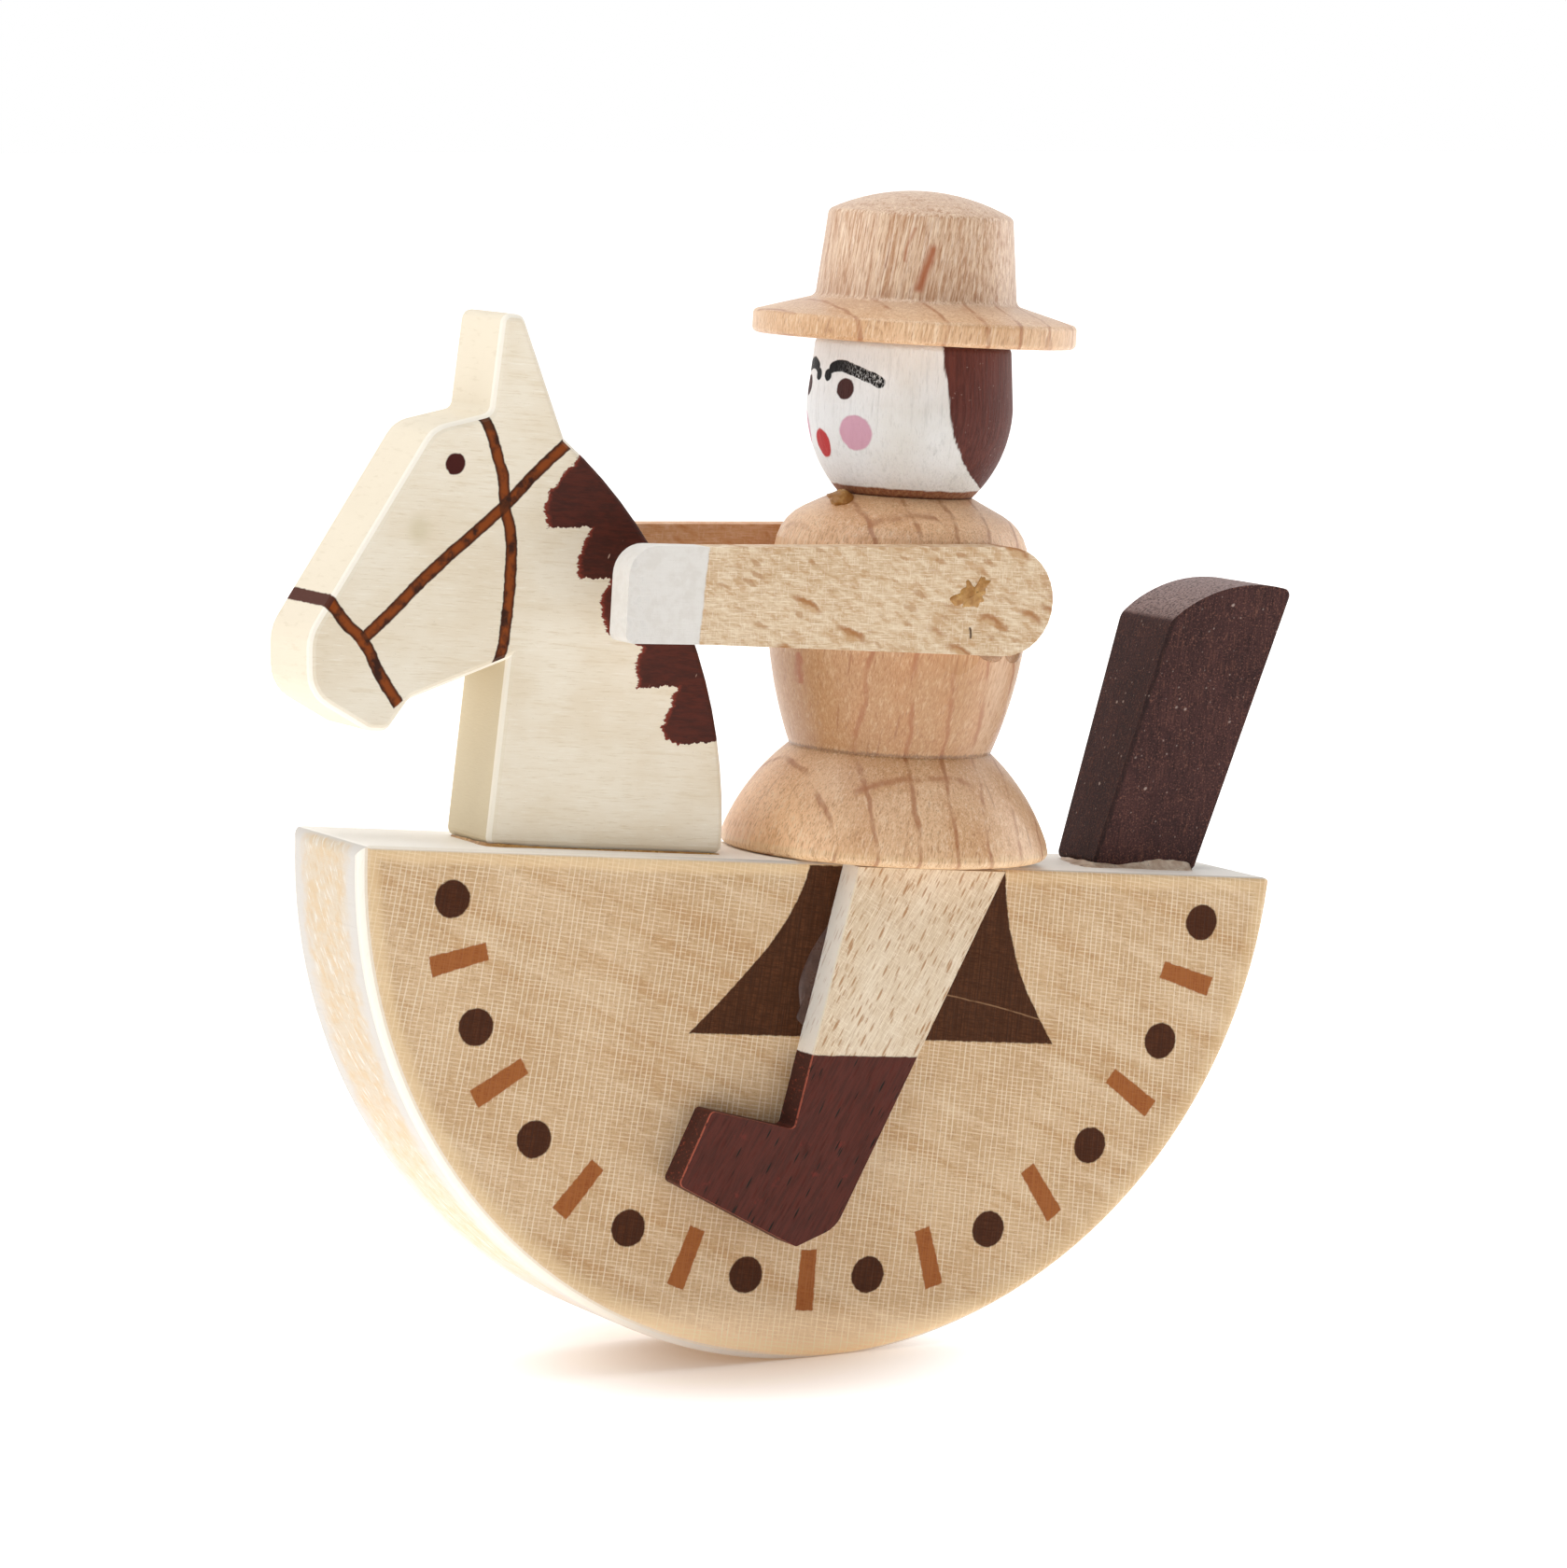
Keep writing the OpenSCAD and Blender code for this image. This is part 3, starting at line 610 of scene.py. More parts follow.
def tail_stain():
    g = Paint("tail_stain")
    x, y, z = g.locate(BOARD_TO_ROW)
    lean = math.radians(TAIL_LEAN)
    from_front = (x - TAIL_FRONT_X - (z - BOARD_TOP) * math.tan(lean)) * math.cos(lean)
    fibre = g.noise((0.2, 0.3, 2.6), 4, 0.68)
    cross = g.noise((1.2, 0.25, 0.2))
    blotch = g.noise((4, 4, 7), 3, 0.55)
    grit = g.noise(0.16, 2, 0.6)
    speck = g.most(
        g.flecks(x + y, z, (0.8, 0.6), 30, 0.03),
        g.flecks(x + y, z, (0.4, 0.34), 60, 0.06, 2.0) * 0.6,
    )
    flat = g.facing("Y")
    side = g.rise(flat, 0.6, 0.9)
    tone = g.tints(
        (74, 46, 44),
        (62, 38, 37, g.rise(blotch, 0.35, 0.68)),
        (32, 18, 20, g.rise(fibre, 0.49, 0.34) * 0.5),
        (112, 74, 62, g.rise(fibre, 0.54, 0.68) * 0.5),
        (98, 66, 64, g.rise(cross, 0.56, 0.74) * 0.3),
        (142, 98, 82, g.rise(grit, 0.57, 0.68) * 0.6),
    )
    tone = g.shade(tone, g.rise(grit, 0.45, 0.32), 0.5)
    arris = side * g.rise(from_front + g.sway(1.0, 0.12), 0.65, 0.3)
    front = g.rise(g.facing("X"), 0.6, 0.9)
    tone = g.shade(tone, g.most(arris, front * 0.5), 0.5)
    tone = g.mix(tone, (206, 184, 174), speck * 0.6)
    facing_up = g.rise(g.facing("Z"), 0.6, 0.9)
    tone = g.mix(tone, (190, 168, 164), facing_up * g.rise(fibre, 0.3, 0.6) * 0.62)
    rough = fibre * 0.2 + 0.5
    height = fibre * 0.9 + cross * 0.5 + grit * 0.6 + speck * 0.5
    return g.finish(tone, rough, height, 0.07, gloss=0.14)


# Growth rings cut by the lathe run through the rider almost in planes across its length
RING_STEP = 3.75
RING_START = -10.8
CROWN_FOOT = 51.3
# Reddish streaks on the near side of the crown and of the torso, as (x, z), half width and strength
RED_STREAKS = [
    ([(-4.7, 58.0), (-5.0, 57.2), (-5.3, 56.3), (-5.5, 54.8)], 0.12, 0.5),
    ([(-3.2, 56.4), (-3.5, 55.2), (-3.95, 53.9), (-4.5, 52.2)], 0.34, 0.9),
    ([(-11.5, 18.6), (-11.35, 17.3), (-11.05, 15.7)], 0.06, 0.8),
]
# Arcs that the lathe cut through a ring: across the skirt and across the shoulder, as (x, z)
RING_ARCS = [
    [(-8.6, 6.0), (-6.4, 7.3), (-3.6, 7.8), (-0.4, 7.9), (2.5, 7.2)],
    [(-7.6, 30.8), (-5.4, 31.45), (-3.1, 31.75), (-1.6, 31.3)],
]
RING_BOW = 0.006
# Fibres lean a little, as the rod was not cut quite along its grain.
FIBRE_LEAN = 0.16
AROUND_R = 11.0
WAIST_Z = 9.6
CREASE_Z = WAIST_Z + 0.12
HEM_Z = 1.0
# Where the rod's tones change: the torso's painted shade and darker wood, painted light on the
# shoulders, painted sheen at the skirt's front and the torso's rear, and the near side
TORSO_FADE_Z = (26, 17)
SHOULDER_LIGHT_Z = (27, 33)
SKIRT_SHEEN_X = (-9, -13.5)
TORSO_SHEEN_X = (0, 6)
RIDER_NEAR_Y = (-0.5, -2)


def turned_beech():
    g = Paint("turned_beech")
    x, y, z = g.locate(RIDER_TO_ROW)
    sway = g.sway((9, 14, 9), 1.0) + g.sway((1.2, 2, 1.8), 0.28)
    bowed = x + y * y * RING_BOW + sway
    phase = g.math("FRACT", (bowed - RING_START) / RING_STEP)
    from_ring = abs(phase - 0.5)
    strength = g.rise(g.noise((3, 3, 4)), 0.3, 0.6)
    on_crown = g.above(z, CROWN_FOOT, 0.3)
    off_crown = 1.0 - on_crown * 0.75
    # The rings show where they are cut across, and fade where the surface runs along them.
    strength = strength * g.rise(g.facing("X"), 0.88, 0.7)
    ring_line = g.rise(from_ring, 0.415, 0.475) * strength * off_crown
    late_wood = g.rise(phase, 0.3, 0.98) * strength * off_crown

    lean = z * FIBRE_LEAN
    leant = g.join(x - lean, y, z)
    blotch = g.noise((8, 8, 12), 3, 0.55)
    streak = g.noise((0.4, 0.4, 8), 4, 0.65, at=leant)
    fine = g.noise((0.12, 0.12, 1.5), 3, 0.65, at=leant)
    grain = g.noise((0.2, 0.2, 6), at=leant)
    turning = g.noise((1, 1, 0.3), 3, 0.7, at=g.join(0, 0, z))
    # Marks lie round the rod, so their place is measured along its surface.
    around = g.math("ARCTAN2", x, y * -1) * AROUND_R - lean
    upright = g.rise(g.facing("Z"), 0.8, 0.55)
    pores = g.flecks(around, z, (0.32, 1.3), 0, 0.6) * upright
    fissures = g.flecks(around, z, (0.5, 5.5), 0, 0.16, 3.0) * upright

    tone = g.mix((230, 190, 149), (215, 169, 124), g.rise(blotch, 0.36, 0.66))
    # The torso is darker and more orange: painted shade under the arms, with the wood's own darker tone.
    torso = g.rise(z, WAIST_Z - 0.6, WAIST_Z + 0.8) * g.rise(z, *TORSO_FADE_Z)
    tone = g.mix(tone, (180, 131, 82), torso * 0.8)
    # Painted light on the shoulders.
    tone = g.shade(tone, g.within(z, *SHOULDER_LIGHT_Z, 1.5), -0.12)
    # Painted sheen on the skirt's front, together with a lighter patch in the wood.
    tone = g.shade(tone, g.rise(x, *SKIRT_SHEEN_X) * g.rise(z, WAIST_Z, WAIST_Z - 1.5), -0.22)
    tone = g.tints(
        tone,
        # Painted sheen on the torso's rear side
        (226, 194, 164, torso * g.rise(x, *TORSO_SHEEN_X) * 0.45),
        (214, 189, 170, g.rise(z, CROWN_FOOT - 1.8, CROWN_FOOT) * 0.5),
        (168, 112, 70, g.rise(grain, 0.47, 0.38) * on_crown * upright * 0.5),
        (248, 230, 210, g.rise(grain, 0.53, 0.62) * on_crown * upright * 0.55),
        (236, 202, 156, g.rise(z, HEM_Z + 0.3, HEM_Z - 0.1) * 0.6),
        (196, 134, 82, late_wood * 0.3),
        (178, 122, 76, g.rise(streak, 0.49, 0.36) * (0.3 + on_crown * 0.35)),
        (246, 220, 188, g.rise(streak, 0.53, 0.66) * (0.5 - torso * 0.3)),
        (158, 102, 58, g.rise(fine, 0.48, 0.34) * 0.55),
        (250, 228, 198, g.rise(fine, 0.54, 0.68) * (0.5 - torso * 0.3)),
        (156, 98, 54, pores * 0.35),
        (148, 84, 42, fissures * 0.4),
        (164, 98, 52, ring_line * 0.7),
    )
    near = g.rise(y, *RIDER_NEAR_Y)
    swayed = x + g.sway(1.5, 0.15)
    for points, half_width, share in RED_STREAKS:
        mark = g.stripe(swayed, z, points, half_width, half_width)[0]
        tone = g.mix(tone, (168, 88, 40), mark * near * share)
    for points in RING_ARCS:
        mark = g.stripe(x, z + g.sway(1.0, 0.16), points, 0.24, 0.2)[0]
        tone = g.mix(tone, (170, 104, 58), mark * near * strength * 0.75)
    fuzz = g.noise((0.16, 0.16, 0.8), 2, 0.6)
    # Painted shade in the crease at the waist.
    crease_shade = g.rise(abs(z + (fuzz - 0.5) * 0.7 - CREASE_Z), 0.3, -0.02)
    tone = g.mix(tone, (112, 76, 54), crease_shade * 0.65)

    rough = streak * 0.14 + turning * 0.1 + 0.3
    height = fine * 0.8 + streak * 0.5 + turning * 0.4 + pores * -0.5 + fissures * -0.6
    return g.finish(tone, rough, height, 0.04, gloss=0.55, coat=0.25)


# The rider's painted face. A place is how far it lies round the head from the nose, and its height
# above the head's foot. Round the head is in degrees, and for the mouth in millimetres.
EYE_SPOT = (20.6, 9.72)
EYE_SPOT_R = (1.0, 0.97)
CHEEK = (28.5, 5.8)
CHEEK_R = (1.75, 1.6)
MOUTH_TOP = (-0.8, 5.6)
MOUTH_FOOT = (0.75, 3.5)
MOUTH_HALF_W = 1.25
BROW = [
    (5.1, 10.84), (9.2, 11.59), (16.0, 11.8), (22.3, 11.6),
    (28.1, 11.36), (33.4, 11.1), (38.2, 10.85), (42.2, 10.55),
]
BROW_HALF_W = 0.55
BROW_THIN_ANGLES = (10, 38)
# The hair's edge, as (height above the head's foot, degrees round the head)
HAIR_EDGE = [
    (0.9, 150.0), (1.62, 121.1), (3.24, 100.0), (5.32, 89.2),
    (7.23, 84.3), (10.14, 81.5), (12.31, 78.7), (14.3, 77.6),
]
HAIR_FOOT_Z = (0.75, 0.95)
BARE_RIM = 0.8
# Where the white paint looks different: painted light towards the nose, painted shade on the sides, and
# pitted paint low down
LIT_FRONT_ANGLES = (60, 25)
SHADED_SIDE_ANGLES = (45, 75)
LOW_PAINT_Z = (4.5, 0.8)


def head_paint():
    g = Paint("head_paint")
    x, y, z = g.locate(RIDER_TO_ROW @ Matrix.Translation((0, 0, HEAD_FOOT)))
    arc = g.math("ARCTAN2", y * -1, x * -1) * HEAD_R
    side = abs(arc)
    side_angle = side * (180 / math.pi / HEAD_R)
    arc_per_degree = HEAD_R * math.pi / 180

    brush = g.noise((0.4, 0.4, 7), 4, 0.65)
    fine = g.noise((0.12, 0.12, 1.3), 3, 0.62)
    blotch = g.noise(5, 3, 0.5)
    pits = g.noise(0.3, 2, 0.6)
    tone = g.mix((246, 245, 243), (236, 233, 227), g.rise(blotch, 0.35, 0.68))
    # Painted light on the front of the face, and painted shade on its sides.
    tone = g.mix(tone, (246, 249, 252), g.rise(side_angle, *LIT_FRONT_ANGLES) * 0.6)
    tone = g.shade(tone, g.rise(side_angle, *SHADED_SIDE_ANGLES), 0.06)
    tone = g.shade(tone, g.rise(brush, 0.48, 0.3), 0.12)
    tone = g.shade(tone, g.rise(fine, 0.44, 0.3), 0.12)
    low = g.rise(z, *LOW_PAINT_Z)
    tone = g.shade(tone, low * g.rise(pits, 0.5, 0.3), 0.12)

    wobble = g.sway(0.6, 0.09, 3)
    u = side + wobble
    v = z + wobble
    cheek = g.spot(u, v, (CHEEK[0] * arc_per_degree, CHEEK[1]), CHEEK_R, 0.07)
    tone = g.mix(tone, g.mix((224, 172, 192), (208, 152, 174), brush), cheek * 0.95)
    lean = Vector(MOUTH_TOP) - Vector(MOUTH_FOOT)
    middle = (Vector(MOUTH_TOP) + Vector(MOUTH_FOOT)) / 2
    slope = math.degrees(math.atan2(lean.y, lean.x))
    along, across = g.turned(arc + wobble - middle.x, v - middle.y, slope)
    mouth = g.spot(along, across, (0, 0), (lean.length / 2, MOUTH_HALF_W), 0.08)
    tone = g.mix(tone, g.mix((206, 20, 24), (176, 10, 14), brush), mouth * 0.97)
    eye = g.spot(u, v, (EYE_SPOT[0] * arc_per_degree, EYE_SPOT[1]), EYE_SPOT_R, 0.08)
    tone = g.mix(tone, g.mix((78, 42, 38), (60, 30, 28), brush), eye)
    brow_points = [(angle * arc_per_degree, height) for angle, height in BROW]
    brow = g.stripe(u, v, brow_points, BROW_HALF_W, 0.06, round_ends=True)[0]
    bristle = g.noise((0.13, 1, 0.35), 3, 0.7, at=g.join(arc, 0, z))
    thin = g.rise(side_angle, *BROW_THIN_ANGLES) * g.rise(bristle, 0.5, 0.6) * 0.7
    tone = g.mix(tone, (9, 5, 6), brow * (1.0 - thin))

    hair_edge = g.profile(z, HAIR_EDGE)
    strand = g.noise((0.3, 0.3, 7), 4, 0.7)
    hair = g.rise(side_angle - hair_edge + (strand - 0.5) * 6, -0.8, 0.9)
    hair = hair * g.rise(z, *HAIR_FOOT_Z)
    hair_tone = g.mix((105, 54, 45), (84, 42, 35), g.rise(strand, 0.35, 0.62))
    # Pale specks in the hair are painted glints.
    hair_tone = g.mix(hair_tone, (176, 146, 136), g.rise(pits, 0.68, 0.76) * 0.6)
    hair_tone = g.shade(hair_tone, g.rise(pits, 0.34, 0.24), 0.4)
    tone = g.mix(tone, hair_tone, hair)
    bare = g.below(z + g.sway(1.2, 0.12), BARE_RIM, 0.1)
    bare_tone = g.mix((168, 118, 84), (134, 84, 58), g.rise(strand, 0.35, 0.6))
    # Painted shade along the foot of the head, where it meets the torso.
    foot_shade_line = g.rise(z + g.sway(1.5, 0.12), 0.3, 0.05)
    tone = g.mix(tone, g.shade(bare_tone, foot_shade_line, 0.55), bare)

    painted = g.most(hair, brow, eye, mouth, cheek)
    rough = painted * 0.05 + brush * 0.12 + 0.42
    height = brush * 1.4 + fine * 1.0 + painted * 0.6 + pits * low * 1.8 + strand * hair * 0.7
    return g.finish(tone, rough, height, 0.09, gloss=0.18)


HAND_EDGE_X = -28.3
HAND_EDGE_SLOPE = 0.06
# A short dark split on the near side of the arm, as (x, z)
ARM_SLIT = [(-0.85, 22.2), (-0.72, 21.75), (-0.7, 21.2)]
ARM_NEAR_Y = (-14.0, -14.6)
FAR_ARM_SHADE_Y = (-1, 1)
HAND_TIP_X = (-32.5, -35.0)
# The lens-shaped marks on the arm: their size, their slope, and the width of their dark upper rim
LENS_SIZE = (6.0, 1.9)
LENS_ANGLE = -24
LENS_RIM = 0.4
MOTTLE_ANGLE = -22


def sawn_beech(g, u, v, depth, light, dark):
    """Sawn beech strip between two tones, u along its grain: its colour and its relief."""
    grain = g.join(u, depth, v)
    blotch = g.noise((12, 8, 5), 3, 0.55, at=grain)
    streak = g.noise((9, 2, 0.5), 4, 0.62, at=grain)
    fine = g.noise((1.6, 1, 0.1), 3, 0.68, at=grain)
    sawn = g.noise((0.12, 1, 0.9), 2, 0.6, at=grain)
    tone = g.mix(light, dark, g.rise(blotch, 0.36, 0.68))
    tone = g.tints(
        tone,
        (200, 162, 120, g.rise(streak, 0.47, 0.25) * 0.3),
        (248, 234, 212, g.rise(fine, 0.53, 0.64) * 0.6),
        (170, 126, 84, g.rise(fine, 0.47, 0.34) * 0.45),
        (248, 235, 214, g.rise(sawn, 0.55, 0.66) * 0.4),
    )
    return tone, streak * 0.5 + fine * 0.7 + sawn * 0.4


def arm_beech():
    g = Paint("arm_beech")
    x, y, z = g.locate(RIDER_TO_ROW)
    tone, relief = sawn_beech(g, x, z, y, (223, 198, 165), (210, 180, 144))
    slant_along, slant_across = g.turned(x, z, MOTTLE_ANGLE)
    mottle = g.noise((1.5, 1, 0.6), at=g.join(slant_along, y, slant_across))
    u = x + g.sway(1.0, 0.5, 3)
    v = z + g.sway(0.7, 0.3, 3)
    large = g.flecks(u, v, LENS_SIZE, LENS_ANGLE, 0.75)
    large_lower = g.flecks(u, v + LENS_RIM, LENS_SIZE, LENS_ANGLE, 0.75)
    small = g.flecks(u, v, (2.8, 0.9), MOTTLE_ANGLE, 0.6, 5.0)
    slit = g.stripe(x, z, ARM_SLIT, 0.09, 0.06)[0]
    tone = g.tints(
        tone,
        (190, 144, 98, g.rise(mottle, 0.52, 0.66) * 0.5),
        (244, 228, 202, g.rise(mottle, 0.48, 0.34) * 0.45),
        (194, 150, 104, large * 0.6),
        (160, 100, 54, large * (1.0 - large_lower) * 0.7),
        (172, 120, 72, small * 0.55),
        # Painted shade and warm bounced light on the far arm
        (204, 132, 78, g.rise(y, *FAR_ARM_SHADE_Y) * 0.5),
        (58, 34, 26, slit * g.rise(y, *ARM_NEAR_Y) * 0.9),
    )

    edge = (z - HAND_H) * HAND_EDGE_SLOPE + HAND_EDGE_X
    lumps = g.noise(1.1, 3, 0.55)
    hand = g.below(x + g.sway(0.9, 0.14, 3) - edge, 0, 0.1)
    tip = g.rise(x, *HAND_TIP_X)
    skin = g.mix((230, 227, 222), (224, 220, 214), g.rise(lumps, 0.4, 0.66))
    skin = g.shade(skin, tip * g.rise(lumps, 0.5, 0.3), 0.08)
    tone = g.mix(tone, skin, hand * 0.98)

    rough = mottle * 0.14 + 0.42
    height = relief + slit * -2.0 + hand * 1.2 + lumps * hand * (tip * 2.4 + 0.5)
    return g.finish(tone, rough, height, 0.045)


BOOT_TOP = 29.0
LEG_FACE_Y = 10.7
LEG_HIGHLIGHT_W = (0.38, 0.22)
LEG_SLANT = 62


def leg_beech():
    g = Paint("leg_beech")
    x, y, z = g.locate(BOARD_TO_ROW)
    along, across = g.turned(x, z, LEG_SLANT)
    tone, relief = sawn_beech(g, along, across, y, (230, 213, 188), (219, 197, 167))
    sideways = across + y
    dashes = g.flecks(along, sideways, (2.6, 0.46), 4, 0.9)
    short = g.flecks(along, sideways, (1.6, 0.34), 4, 0.7, 4.0)
    front = g.rise(g.facing("X"), 0.5, 0.8)
    # The front strip is near white: its whitish paint, made brighter still by painted light.
    tone = g.mix(tone, (255, 250, 240), front * 0.9)
    dashes = g.most(dashes, short * 0.8) * (0.75 - front * 0.4)
    tone = g.mix(tone, (168, 117, 70), dashes)
    from_side = LEG_FACE_Y - abs(y)
    rim = g.rise(from_side, *LEG_HIGHLIGHT_W) * g.rise(g.facing("Y"), 0.995, 0.97)
    worn = g.rise(g.noise(0.5, 3, 0.7), 0.34, 0.46)
    # Painted highlight along the sawn arrises.
    tone = g.mix(tone, (255, 246, 224), rim * 0.85)

    boot_line = z + g.sway(1.2, 0.12, 3)
    boot = g.below(boot_line, BOOT_TOP, 0.08)
    brushed = g.noise((3, 2, 0.3), 4, 0.65, at=g.join(along, y, across))
    patch = g.noise((2.2, 2, 2.2), 4, 0.65)
    cracks = g.flecks(along, sideways, (2.4, 0.34), 2, 0.4, 2.0)
    leather = g.mix((86, 33, 26), (69, 25, 20), g.rise(brushed, 0.36, 0.66))
    leather = g.mix(leather, (132, 42, 36), g.rise(patch, 0.62, 0.72) * 0.45)
    leather = g.shade(leather, cracks, 1.0)
    scuffed = g.rise(g.noise((0.5, 0.5, 0.25), 3, 0.7), 0.56, 0.68)
    leather = g.mix(leather, g.mix((62, 17, 8), (140, 60, 44), scuffed), front * 0.9)
    # On the boot the arris line is wear together with a painted highlight.
    leather = g.mix(leather, (190, 98, 80), rim * worn * 0.8)
    tone = g.mix(tone, leather, boot * 0.98)

    rough = brushed * 0.14 + 0.4
    height = relief + boot * 0.7 + brushed * boot * 0.5 + cracks * boot * -0.6
    return g.finish(tone, rough, height, 0.045)


def dowel_beech():
    g = Paint("dowel_beech")
    x, y, z = g.locate(BOARD_TO_ROW)
    tone, relief = sawn_beech(g, z, x, y, (226, 200, 168), (208, 178, 142))
    dashes = g.flecks(z, x + y, (3.0, 0.5), 0, 0.5)
    tone = g.mix(tone, (170, 124, 84), dashes * 0.6)
    return g.finish(tone, 0.55, relief, 0.04)


PAINTERS = {
    "board_maple": board_maple,
    "horse_paint": horse_paint,
    "tail_stain": tail_stain,
    "turned_beech": turned_beech,
    "head_paint": head_paint,
    "arm_beech": arm_beech,
    "leg_beech": leg_beech,
    "dowel_beech": dowel_beech,
}


def dress_nodes():
    """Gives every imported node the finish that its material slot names."""
    made = {name: paint() for name, paint in PAINTERS.items()}
    slots = {row["node"]: row["material_slot"] for row in frame["record"]["subparts"]}
    for name, node in frame["nodes"].items():
        for slot in node.material_slots:
            slot.material = made[slots[name]]


# Sawn edges, eased by hand
EASED_NODES = ("left_arm", "right_arm", "left_leg", "right_leg", "tail")
EASED_W = 0.28
EASED_SEGMENTS = 3
EASED_ANGLE = 35.0
WELD_REACH = 0.001


def ease_edges():
    """Rounds the sharp edges of the sawn pieces a little, and smooths their shading."""
    for name in EASED_NODES:
        node = frame["nodes"][name]
        weld = node.modifiers.new("weld", "WELD")
        weld.merge_threshold = WELD_REACH * MM
        bevel = node.modifiers.new("eased", "BEVEL")
        bevel.width = EASED_W * MM
        bevel.segments = EASED_SEGMENTS
        bevel.limit_method = "ANGLE"
        bevel.angle_limit = math.radians(EASED_ANGLE)
        node.modifiers.new("normals", "WEIGHTED_NORMAL")


# Hardened glue: how it bends light, and the steps from one given point of a piece to the next
GLUE_IOR = 1.48
CURVE_STEPS = 6


def glue(name, light, dark, clear):
    """Glue between two tones; clear is the share of light that passes through."""
    g = Paint(name)
    g.locate(BOARD_TO_ROW)
    cloud = g.noise(0.9)
    bubbles = g.noise(0.22, 2, 0.6)
    tone = g.mix(light, dark, g.rise(cloud, 0.35, 0.65))
    tone = g.shade(tone, g.rise(bubbles, 0.4, 0.25), 0.2)
    g.fill(g.shader, Transmission_Weight=clear, IOR=GLUE_IOR)
    return g.finish(tone, cloud * 0.2 + 0.2, cloud + bubbles * 0.4, 0.05, gloss=0.5)


def smooth_points(points, closed):
    """Points on a smooth curve through the given ones, in CURVE_STEPS from each to the next."""
    count = len(points)
    spans = count if closed else count - 1
    found = []
    for span in range(spans):
        picks = []
        for offset in (-1, 0, 1, 2):
            index = (span + offset) % count if closed else min(max(span + offset, 0), count - 1)
            picks.append(Vector(points[index]))
        before, start, end, after = picks
        for step in range(CURVE_STEPS):
            t = step / CURVE_STEPS
            found.append(0.5 * (
                2 * start
                + (end - before) * t
                + (2 * before - 5 * start + 4 * end - after) * t ** 2
                + (3 * start - before - 3 * end + after) * t ** 3
            ))
    if not closed:
        found.append(Vector(points[-1]))
    return found


# How deep the glue sits in the wood
GLUE_SINK = 0.1
# The rings of a film from its rim inwards, as shares of its outline
FILM_RINGS = (1.0, 0.94, 0.84, 0.68, 0.48, 0.26)
# The hollow slope of a line of glue in a corner, as shares of its width and its height
FILLET_SLOPE = ((1.0, 0.0), (0.62, 0.16), (0.34, 0.38), (0.14, 0.66), (0.0, 1.0))
# Waves to a millimetre along a ragged outline
RAGGED_RATE = 1.7
# Unevenness, as (share of the size, waves to a millimetre), or for the bead, waves to its radius
FILM_BUMPS = (0.4, 1.3)
FILLET_BUMPS = (0.35, 0.9)
DROP_BUMPS = (0.28, 1.6)
DROP_SHIFT = Vector((3, 0, 0))
DROP_GRAINS = (0.08, 5)


def add_object(name, data):
    made = bpy.data.objects.new(name, data)
    bpy.context.scene.collection.objects.link(made)
    return made


def uneven(point, bumps, shift=Vector()):
    share, rate = bumps
    return share * noise.noise(point * rate + shift)


def close_rings(made, rings):
    """Joins rings of corners with faces, and closes both ends."""
    count = len(rings[0])
    for before, after in zip(rings, rings[1:]):
        for index in range(count):
            following = (index + 1) % count
            made.faces.new((before[index], before[following], after[following], after[index]))
    made.faces.new(rings[-1])
    made.faces.new(reversed(rings[0]))
    bmesh.ops.triangulate(made, faces=[face for face in made.faces if len(face.verts) > 4])


def add_glue(name, made, to_row, material):
    """Makes the piece of glue from a mesh in millimetres in its own frame."""
    mesh = bpy.data.meshes.new(name)
    made.transform(Matrix.Scale(MM, 4) @ to_row)
    bmesh.ops.recalc_face_normals(made, faces=made.faces)
    made.to_mesh(mesh)
    made.free()
    mesh.materials.append(material)
    for face in mesh.polygons:
        face.use_smooth = True
    piece = add_object(name, mesh)
    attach(piece, "root")


def add_film(name, to_row, outline, surface, thick, material, ragged=0.0):
    """A low pad of glue with a closed outline in x and z; surface is its side's y, or gives it."""
    made = bmesh.new()
    edge = smooth_points([(x, z, 0) for x, z in outline], True)
    middle = sum(edge, Vector()) / len(edge)
    edge = [middle + (point - middle) * (1 + uneven(point, (ragged, RAGGED_RATE))) for point in edge]

    def corner(point, share, lift):
        x, z = (middle + (point - middle) * share)[:2]
        y = surface(x, z) if callable(surface) else surface
        return made.verts.new((x, y - lift, z))

    rings = [[corner(point, 1.0, -GLUE_SINK) for point in edge]]
    for share in FILM_RINGS:
        lift = thick * math.sqrt(1 - share ** 4)
        rings.append([
            corner(point, share, lift * (1 + uneven(point * share, FILM_BUMPS))) for point in edge
        ])
    close_rings(made, rings)
    add_glue(name, made, to_row, material)


def add_fillet(name, corner, path, material):
    """Glue along a foot on the board, through points (x, y, width, height) measured from its corner.

    The width points to the path's right, seen from above.
    """
    made = bmesh.new()
    feet = [(corner[0] + x, corner[1] + y, BOARD_TOP) for x, y, width, height in path]
    places = smooth_points(feet, False)
    sizes = smooth_points([(width, height, 0.0) for x, y, width, height in path], False)
    rings = []
    for index, (place, size) in enumerate(zip(places, sizes)):
        run = places[min(index + 1, len(places) - 1)] - places[max(index - 1, 0)]
        out = Vector((run.y, -run.x, 0)).normalized()
        bumps = 1 + uneven(place, FILLET_BUMPS)
        width, height = size.x * bumps, size.y * bumps
        section = [(-GLUE_SINK, -GLUE_SINK), (width, -GLUE_SINK)]
        section += [(width * share, height * rise) for share, rise in FILLET_SLOPE]
        section.append((-GLUE_SINK, height))
        rings.append([made.verts.new(place + out * reach + Vector((0, 0, up))) for reach, up in section])
    close_rings(made, rings)
    add_glue(name, made, BOARD_TO_ROW, material)


